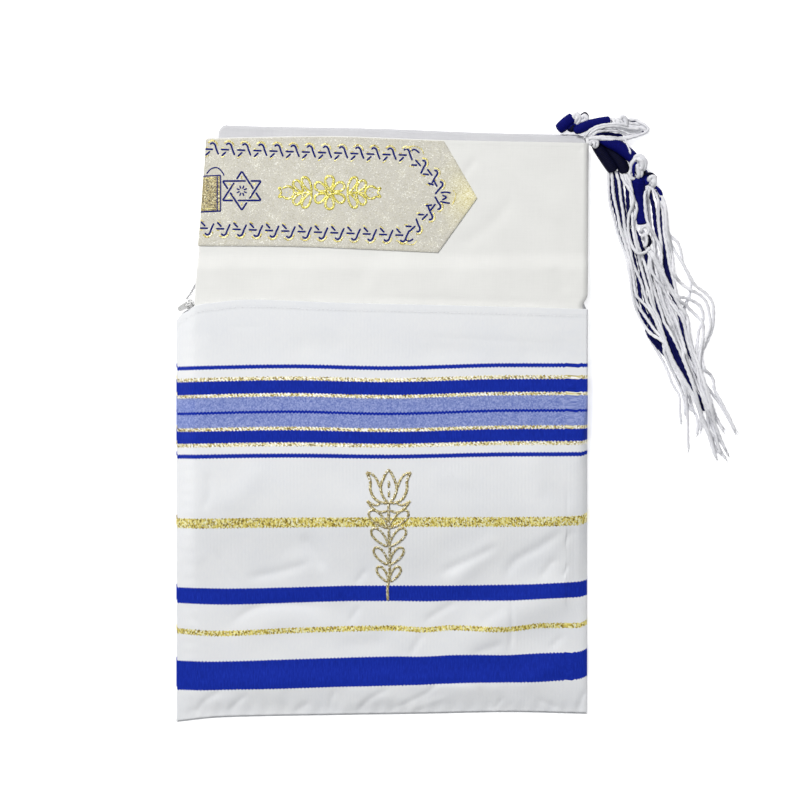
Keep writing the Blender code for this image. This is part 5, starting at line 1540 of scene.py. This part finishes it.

# tassel D: shank at the side fold, wound in the near-black thread of painted shade
piece = Pile()
winding(piece, [(158.2, 280.6, 4.2, 2.0, 2.2), (160.4, 278.4, 4.4, 3.4, 3.4), (164.8, 272.8, 4.6, 4.5, 4.4), (169.8, 265.6, 4.6, 4.7, 4.4),
                (173.0, 260.6, 4.5, 4.4, 4.2), (174.4, 258.0, 4.2, 3.8, 3.7)], "wd", 3)
winding(piece, [(163.0, 283.2, 2.2, 2.4, 2.0), (168.6, 278.4, 2.9, 4.2, 2.8), (174.8, 271.6, 3.6, 4.8, 3.4), (180.6, 263.4, 3.8, 4.8, 3.6),
                (183.4, 257.0, 3.4, 4.2, 3.3)], "wd2", 3)
loops(piece, 62, "kd",
      ([(590.6, 145.4, 8.2), (590.6, 141.6, 9.8), (594.4, 140.4, 10.8), (597.6, 142.2, 10.4), (596.6, 145.6, 9.4), (593.4, 146.8, 8.6)], 1.35, 1),
      ([(592.4, 141.2, 9.4), (594.2, 144.0, 11.0), (594.0, 147.2, 8.6)], 1.3, 1),
      ([(588.6, 140.0, 8.8), (592.0, 139.8, 9.8), (597.0, 140.8, 9.8)], 1.15, 1))
tassel_d = piece.make("tassel_d_wound_shank", TASSEL_MATS, "winding_thread")
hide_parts("tassel_d_winding")

# tassel C: shank, first knot, second shank, second knot
piece = Pile()
winding(piece, [(163.0, 282.2, 8.6, 2.4, 2.2), (169.0, 280.0, 8.6, 3.8, 3.3), (176.5, 277.0, 8.4, 4.6, 4.1), (183.2, 272.6, 8.2, 4.8, 4.3),
                (189.0, 267.4, 8.4, 4.6, 4.3)], "wc")
knot(piece, (191.4, 262.6, 7.2), math.radians(-64), 4.8, 11.6, "kc", (1, 1, 1), 1.9, 1.0, 7, 0)
# The last cord, in the near-black thread, is painted shade at the knot's foot.
loops(piece, 66, "kc",
      ([(632.6, 160.0, 10.0), (636.6, 156.8, 12.4), (641.6, 157.6, 13.4), (644.8, 162.2, 12.8), (644.6, 167.6, 11.2), (641.8, 170.0, 10.0)], 2.0, 1),
      ([(636.4, 158.6, 13.0), (640.6, 161.6, 14.2), (642.0, 166.6, 12.8), (639.4, 170.0, 11.4)], 1.9, 1),
      ([(638.6, 157.6, 12.2), (633.6, 160.6, 12.8), (631.0, 165.6, 11.2), (631.4, 170.0, 9.6), (629.8, 173.6, 8.6), (631.8, 177.4, 8.2),
        (636.0, 177.6, 7.8)], 1.55, 1),
      ([(636.8, 164.0, 12.6), (637.6, 169.4, 12.0), (638.8, 174.4, 10.6), (637.0, 177.8, 8.4)], 1.75, 1),
      ([(641.4, 168.4, 10.4), (641.6, 173.2, 10.0), (639.8, 177.0, 8.6)], 1.55, 1),
      ([(636.2, 162.6, 12.4), (633.6, 166.6, 12.6), (633.2, 171.6, 11.6), (634.0, 176.6, 9.8)], 1.15, 0),
      ([(643.4, 170.0, 8.4), (645.0, 171.4, 8.2), (644.6, 174.0, 7.2)], 1.1, 3))
winding(piece, [(192.0, 255.0, 5.4, 4.6, 4.2), (192.6, 250.0, 5.2, 5.4, 4.7), (193.4, 240.0, 4.8, 4.9, 4.5), (194.6, 228.0, 4.6, 4.5, 4.4),
                (196.0, 218.2, 4.6, 4.1, 4.2)], "wc2")
knot(piece, (197.4, 209.4, 4.2), math.radians(-76), 3.2, 12.0, "kc2", (1, 1, 1), 1.8, 0.9, 9, 0)
# The last cord, in the near-black thread, is painted shade among the knot's loops.
loops(piece, 74, "kc2",
      ([(641.6, 231.4, 6.4), (642.6, 227.6, 8.0), (646.0, 226.2, 8.6), (648.6, 229.0, 8.0), (647.8, 233.0, 7.4), (644.4, 234.6, 7.0)], 1.45, 1),
      ([(641.0, 240.0, 6.8), (642.8, 235.8, 7.8), (646.2, 236.4, 8.0), (647.2, 241.0, 7.6), (645.0, 245.6, 7.0), (641.9, 244.4, 6.6),
        (641.0, 240.6, 6.4)], 1.2, 1),
      ([(648.0, 234.6, 5.6), (650.2, 238.0, 5.8), (650.0, 243.4, 5.6), (648.0, 246.8, 5.2)], 1.3, 3))
tassel_c = piece.make("tassel_c_wound_shank", TASSEL_MATS, "winding_thread")
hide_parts("tassel_c_winding")

# Free strands: their routes in the view, from the knot to the cut end.
LEFT_SIDE = table((172, 608), (200, 610.5), (220, 615), (240, 620.5), (260, 627), (280, 630.5), (300, 633.5), (320, 641), (340, 652.5),
                  (360, 663), (380, 674), (400, 684), (415, 692))
RIGHT_SIDE = table((172, 631), (240, 669), (260, 671), (280, 675), (300, 678.5), (320, 682), (340, 686), (360, 691), (380, 699),
                   (400, 707), (415, 712))
DARK_DOWN = [235, 260, 280, 300, 320, 340, 360, 380, 398]


def dark_route(start, share, until, since=235):
    rows = [(float(LEFT_SIDE(y)) + 3 + share * (float(RIGHT_SIDE(y)) - float(LEFT_SIDE(y)) - 6), y) for y in DARK_DOWN if since <= y <= until]
    return list(start) + rows


# Near-black navy cords laid low under the white strands: part blue strands of the tassels, part painted shade that
# fills the gaps between the white ones.
DARK = [("d", dark_route([(611, 168), (612, 180), (614.6, 200), (618.6, 218)], 0.03, 320)
         + [(650, 334), (657, 344), (665, 353), (673, 363), (681, 374), (689, 386), (696, 397)]),
        ("d", dark_route([(615, 168), (617, 180), (619, 200), (622.6, 218)], 0.15, 320)
         + [(655, 336), (662, 346), (669, 355), (676, 364), (684, 376), (691, 387), (697, 398)]),
        ("d", dark_route([(620, 169), (622, 181), (624.4, 200), (626.6, 218)], 0.27, 320)
         + [(659, 336), (666, 346), (673, 356), (680, 366), (687, 378), (694, 390)]),
        ("d", dark_route([(625, 171), (627.6, 183), (629.0, 200), (630.6, 218)], 0.39, 340)
         + [(672, 352), (679, 362), (686, 374), (694, 388)]),
        ("c", dark_route([(644.5, 246)], 0.50, 398, 260)), ("c", dark_route([(647, 246)], 0.62, 398, 260)),
        ("c", [(645.5, 247), (648, 262), (653, 285), (659, 310), (666, 330), (674, 346), (680, 362), (690, 384), (699, 398), (706, 411)]),
        ("e", [(651, 188), (652, 195), (654.4, 204), (655.8, 214), (656.6, 224), (658.4, 233), (661.2, 241), (664.4, 252), (666.4, 264), (669.4, 278),
               (671.8, 290), (676, 300), (681, 315), (684.4, 333), (689, 354), (696, 376), (702, 394), (706, 408)]),
        ("e", [(656, 189), (660, 200), (661.4, 212), (662.8, 226), (664.4, 240), (667.4, 256), (669.0, 266), (671.6, 280), (674.0, 290), (677.2, 302),
               (681.6, 322), (686, 340), (692, 362)])]
WHITE = {
    "d1": [(609, 169), (609, 180), (609.5, 190), (610.5, 200), (613, 212), (616, 222), (619, 232), (622, 242), (625.5, 252), (628.5, 262),
           (630.5, 275), (632, 288), (634.4, 300), (638, 311), (642.4, 321), (646.8, 328), (652, 334), (658, 338.4), (663.4, 343),
           (667, 350), (671.8, 360), (677, 370.4), (682.4, 380), (688, 389), (693, 398), (698.6, 410), (703, 421), (708.4, 432),
           (712, 443), (716, 455)],
    "d2": [(612, 169), (613, 183), (614.5, 194), (616.6, 205), (618.8, 215), (620.6, 225), (624, 238), (627.6, 250), (631.4, 262), (633.8, 274),
           (635, 285), (637.5, 295), (643.4, 302), (648.6, 309), (653.6, 317), (657.6, 325), (660.6, 332), (664.6, 341), (668.8, 351), (673.6, 361),
           (679, 371), (684.5, 381), (689.6, 389), (694, 397), (699.4, 408), (703.4, 418), (707.4, 428), (711.4, 438), (714.4, 448), (718, 459)],
    "d1a": [(628, 262), (631.4, 278), (633.2, 290), (636.4, 300), (640.6, 308), (645.4, 315.6), (650.4, 323), (655.4, 330), (660.2, 336), (664.6, 343.6),
            (664.4, 352), (668.4, 361), (673.2, 371), (677.4, 380), (681.6, 389), (685.2, 397.6), (689.0, 405), (694.4, 412)],
    "d1b": [(646, 330), (652, 340.4), (657, 348.6), (661.4, 356), (665.6, 364.4), (669.4, 372), (672.6, 380), (676.4, 387.6), (680.4, 395),
            (681.3, 409), (682.5, 423)],
    "d3": [(616, 169), (619, 179), (620.5, 188), (622, 198), (623.5, 208), (624.3, 218), (625.5, 228), (628, 238), (630.5, 248), (632.5, 258),
           (635, 266), (638.5, 273), (641.8, 281), (644, 289), (646.8, 298), (649.5, 305), (654, 314), (658, 321), (662, 331), (665, 340),
           (667, 350), (671, 361), (676.4, 372), (681, 382), (686, 394), (688, 406), (689, 420), (689.5, 435), (690, 450)],
    "d4": [(621, 170), (625, 182), (629, 188), (632, 194), (633.5, 200), (632, 207), (629.5, 213), (628.5, 222), (629, 230), (630.5, 238),
           (632.4, 245), (635, 251), (639, 253.6), (643.4, 252.8), (647.4, 250.2), (650.4, 246.4)],
    "d5": [(624, 171), (630, 186), (634.5, 199), (637, 207), (636, 214), (634.5, 222), (635, 230), (637, 240), (640.0, 250), (643.6, 259),
           (646.4, 268), (649.6, 280), (652, 292), (654, 302), (656.5, 312), (659, 321), (662, 331), (663.5, 341), (665.5, 351), (670, 362),
           (675, 372), (679.5, 381), (683, 391), (686, 401), (687, 415)],
    "d6": [(627, 172), (632, 190), (633, 206), (632.5, 216), (633, 226), (634.5, 236), (636.4, 246), (638.6, 254), (641, 263), (643.8, 272),
           (646, 281), (648.4, 290), (651, 299), (655, 309), (659.4, 319), (661.5, 328), (663.4, 337), (666, 344), (668.5, 353), (673.6, 364), (680, 375),
           (686, 386), (690, 396), (694.4, 408), (698.6, 420), (699, 435)],
    "e7": [(650, 186.5), (645.7, 191.5), (644.6, 200), (645.3, 210), (647, 218), (649.5, 225.5), (653, 232), (657, 239), (660.5, 246),
           (662.4, 256), (661.5, 266), (661.2, 274), (663.5, 283), (667, 293), (670, 303), (674, 312), (678, 321), (680.3, 331), (682.6, 341),
           (684.6, 350), (687.4, 359), (691.6, 369), (696, 380), (700.5, 392), (704, 404), (708, 416), (711, 431), (716, 438), (720, 446),
           (724, 453), (728, 459)],
    "e8": [(651, 187.5), (648.9, 194), (648.9, 202), (650.1, 210), (651.5, 220), (652.4, 228), (654, 238), (655.6, 248), (656, 258), (656, 267),
           (657.6, 276), (660, 286), (662.6, 296), (665.2, 305), (668.0, 312), (672.8, 321), (676, 330), (679, 340), (682.0, 349), (683, 357), (686, 366),
           (690, 377), (693.6, 388), (696.8, 399), (699.6, 409), (702, 420), (702.6, 431)],
    "e10": [(654, 188), (657.4, 195), (658.7, 203), (659.4, 213), (659.7, 223), (660.6, 233), (662, 242), (662.8, 250), (661.4, 259), (659.4, 268),
            (659.3, 276), (661.8, 286), (664.8, 295), (667.8, 303), (672, 311), (676.2, 319), (678.6, 328), (680.6, 337), (684.4, 347), (688, 356), (693, 366),
            (699.4, 377), (704.4, 388), (708, 400), (710.2, 409)],
    "e11": [(660, 199), (662.6, 206), (663.8, 214), (664.8, 222), (665.4, 230), (666.2, 239), (668, 250), (669.6, 260), (671.6, 270), (673.6, 279),
            (675.6, 288), (678, 297), (680.4, 306), (683, 315), (685.6, 325), (687, 335), (689, 345), (692.4, 356), (696.4, 367), (701, 380),
            (705.8, 394), (711, 408), (717, 419), (722, 425), (726, 429)],
    "c9": [(647.4, 246.5), (651.8, 251), (650.9, 257), (650.4, 264), (652.2, 271.6), (656.8, 279), (662.4, 286.4), (666.4, 293.6), (670.6, 301),
           (675.6, 308.4), (680.8, 316), (684.2, 325), (686.6, 334), (688.4, 343), (691.4, 353), (695.4, 364), (699.6, 376), (704.4, 388),
           (709.4, 400), (708.4, 409), (712.0, 421), (717.6, 438), (722, 454)],
    "c12": [(646.6, 247), (649.6, 256), (648.6, 266), (650.6, 277), (654.2, 288), (657.0, 297), (659.4, 305), (662.6, 314), (664.4, 322), (668.6, 330), (672.4, 338),
            (676.6, 346), (680.4, 354), (683.4, 363), (687.6, 374), (692, 385), (695.4, 395), (698.6, 406), (704, 417), (709.4, 428),
            (714, 440), (719, 452)],
    "c13": [(645.6, 247), (651.6, 258), (653.0, 268), (655.6, 279), (659.0, 290), (661.2, 300), (664.4, 309), (667.6, 318), (671.2, 326), (675.2, 335),
            (679.4, 344), (683.8, 353), (689.2, 363), (694, 373), (699, 384), (702.8, 395), (706.6, 406), (709.6, 416), (715.4, 430), (724, 444), (730, 456)],
    "c14": [(648.4, 246.5), (653.4, 240), (654.0, 231), (654.6, 240), (657.8, 250), (658.6, 260), (658.4, 270), (660.4, 279), (664.4, 287), (668.2, 294),
            (672.4, 301), (676.8, 307.6), (680.2, 313), (683.6, 321), (688.6, 331), (691.8, 342), (695.6, 354), (699.4, 366), (704.6, 380), (714, 394),
            (723, 407), (731, 420), (737, 433)],
}
del WHITE["c14"][1:3]
LOOSE = [[(657, 186), (662.4, 194), (665.6, 206), (667.4, 219), (670.2, 232.8), (678.8, 241.2), (682.3, 251), (684.4, 262.3), (689.3, 273.5),
          (692.1, 282), (691.4, 293), (687.9, 303), (685.6, 309), (687.8, 315), (689.4, 322), (689.2, 332), (691.4, 342), (695, 352), (699, 362),
          (702, 374), (705, 385), (708.6, 394)],
         [(658, 187), (663.4, 198), (666.4, 212), (668.0, 227), (671, 240), (677.4, 252), (683.6, 262), (689, 272), (696.3, 284.2), (706.5, 292),
          (713.4, 301), (715.3, 314.2), (713.9, 328), (708.4, 342), (703.8, 352), (702.2, 362), (701.6, 374), (704.4, 387), (709.0, 400),
          (714.0, 411), (719.6, 421), (724.4, 431)],
         [(661, 199), (664.8, 207), (666.2, 221), (667.4, 236), (671.8, 248), (674.2, 256), (673.6, 265), (674.0, 273), (680.6, 280.6),
          (690.7, 288.6), (701.2, 294.4), (708.0, 302), (711, 314), (711.6, 326), (706.6, 340), (702.8, 352), (702.4, 362), (704.6, 369.6),
          (711, 373.4), (715, 379.6), (715.8, 388.6), (720.6, 398), (726, 408), (730, 416), (733, 424), (737, 431)],
         [(648, 247), (655.6, 262), (664.8, 281), (672.0, 292.6), (677.6, 296.2), (685.4, 297.2), (694.2, 300.4), (701.4, 305.4), (704.7, 313.6),
          (704.2, 321.4), (700.7, 329), (699.0, 340), (697.6, 352), (697.4, 362), (698.0, 374), (700.4, 386), (704.6, 398), (708.6, 411)],
         [(647, 247), (656.8, 265), (668.4, 284), (676.4, 296), (681.6, 301.6), (686.6, 304.6), (692.4, 310.0), (698.2, 315.4), (703.4, 321.4),
          (705.0, 329), (703.4, 340), (700.6, 352), (699.4, 363), (700.4, 375), (704.4, 386), (708.4, 396), (711.4, 404)],
         [(649, 246.6), (657.8, 264), (665.6, 279), (672.4, 293), (677.8, 303), (681.2, 308.4), (685.0, 312.4), (688.0, 317.6), (688.2, 326), (689.4, 337),
          (692.4, 348), (696.6, 360), (700.4, 373), (704.4, 387), (708.8, 402), (713.4, 417), (720.2, 436), (726.6, 450)]]

d_strands, c_strands, a_strands = Pile(), Pile(), Pile()
piles = {"d": d_strands, "c": c_strands, "e": a_strands}
starts = {"d": 3.4, "c": 3.8, "e": 4.2}
skips = {"d": ("wd", "wd2", "kd", "la"), "c": ("wc2", "kc2", "la"), "e": ("ke", "la", "kc")}
strand(d_strands, 12, WHITE["d1b"], "sd", None, skips["d"], 1, r=1.2, frays=4)
for number, (kind, pts) in enumerate(DARK):
    strand(piles[kind], 1 + number, pts, "s" + kind, 2.4, skips[kind], 2, r=1.5, wobble=0.12, frays=0)
order = ["c13", "c12", "d5", "c14", "e11", "e10", "d6", "e8", "d1a", "d3", "e7", "c9", "d4", "d1", "d2"]
for number, name in enumerate(order):
    kind = name[0]
    start = None if name == "d1a" else starts[kind] + 0.4 * (number % 3)
    strand(piles[kind], 13 + number, WHITE[name], "s" + kind, start, skips[kind], 1, r=1.2, frays=0 if name == "d4" else 4)
for number, pts in enumerate(LOOSE):
    strand(a_strands if number < 3 else c_strands, 30 + number, pts, "sl", 4.2, ("ke", "la", "kc", "wc2", "kc2"), 1, wobble=0.1, r=1.32)

# strands of tassel B turn back over themselves
B_ROUTES = [([(590, 136.4), (598, 134.2), (607, 133.2), (615, 133.8), (624, 135.0)], 2, 1.7),
            ([(625, 121), (633, 120.4), (640, 121.0), (644.6, 124)], 2, 1.5), ([(627, 126), (635, 126.6), (641, 129.6), (645, 130.4)], 2, 1.5),
            ([(588.4, 138.0), (593.4, 134.0), (599.4, 131.4), (607, 130.2), (615, 130.2), (622, 131.4), (629, 134.0), (635, 134.6), (641, 133.4)], 1, 1.2),
            ([(588.0, 138.2), (594.4, 137.2), (602, 136.8), (611, 137.4), (620, 137.4), (629, 136.0), (637, 134.0), (643, 131.8)], 1, 1.2),
            ([(584.6, 136.6), (590.4, 131.4), (597.4, 128.2), (606, 126.8), (615, 127.0), (623, 128.6), (631, 130.4), (638, 130.6), (644, 128.6)], 1, 1.2),
            ([(623, 120), (631, 122.6), (638, 122.8), (643.0, 124.6), (646.6, 127.6)], 1, 1.15),
            ([(623, 122), (630, 125.6), (637, 126.0), (642.4, 127.4), (646.6, 129.8)], 1, 1.15),
            ([(584.0, 137.4), (589.4, 133.8), (595.4, 129.6), (603, 127.0), (611, 126.0), (619, 126.4), (627, 127.8), (634, 128.4), (640, 128.4)], 1, 1.2),
            ([(625, 119), (632, 118.6), (637.4, 119.2), (640.6, 121.8), (645.4, 124.6), (648.6, 128.6), (646.4, 132.0), (640, 134.4), (631, 137.0),
              (621, 139.2), (609, 139.8), (598, 138.8), (588, 138.6)], 1, 1.2),
            ([(585.2, 135.8), (589.6, 130.6), (596.4, 126.8), (604.6, 125.0), (613, 124.4), (621, 124.6), (628, 125.4)], 1, 1.1)]
b_strands = Pile()
for k, (pts, mat, r) in enumerate(B_ROUTES):
    at_knot = k in (1, 2, 6, 7, 9)
    strand(b_strands, 50 + k, pts, "sb", 5.0 if at_knot else None, ("kb", "wc") if at_knot else ("kd",), mat,
           wobble=0.05, r=r, frays=3 if k in (6, 7) else 0)
# one white strand over the shank of tassel C
strand(c_strands, 62, [(625.4, 138.4), (626.6, 143), (628.4, 148.6), (630.4, 154.6)], "sl", None, (), 1, r=0.85, frays=0)
b_strands = b_strands.make("tassel_b_free_strands", TASSEL_MATS, "tassel_thread")
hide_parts("tassel_b_strands")
a_strands = a_strands.make("tassel_a_free_strands", TASSEL_MATS, "tassel_thread")
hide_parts("tassel_a_strands")
c_strands = c_strands.make("tassel_c_free_strands", TASSEL_MATS, "tassel_thread")
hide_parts("tassel_c_strands")
d_strands = d_strands.make("tassel_d_free_strands", TASSEL_MATS, "tassel_thread")
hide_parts("tassel_d_strands")


# ---- floor, and the end -----------------------------------------------------------------
floor_finish = Finish("floor_pale", rough=0.9, specular=0.1)
floor_finish.colour(linear(250, 250, 250))
floor_finish.shader.inputs["Emission Color"].default_value = (1.0, 1.0, 1.0, 1.0)
floor_finish.shader.inputs["Emission Strength"].default_value = 0.55
mesh = bpy.data.meshes.new("floor")
mesh.from_pydata([(-4, -4, 0), (4, -4, 0), (4, 4, 0), (-4, 4, 0)], [], [(0, 1, 2, 3)])
mesh.materials.append(floor_finish.mat)
floor = bpy.data.objects.new("floor", mesh)
bpy.context.collection.objects.link(floor)
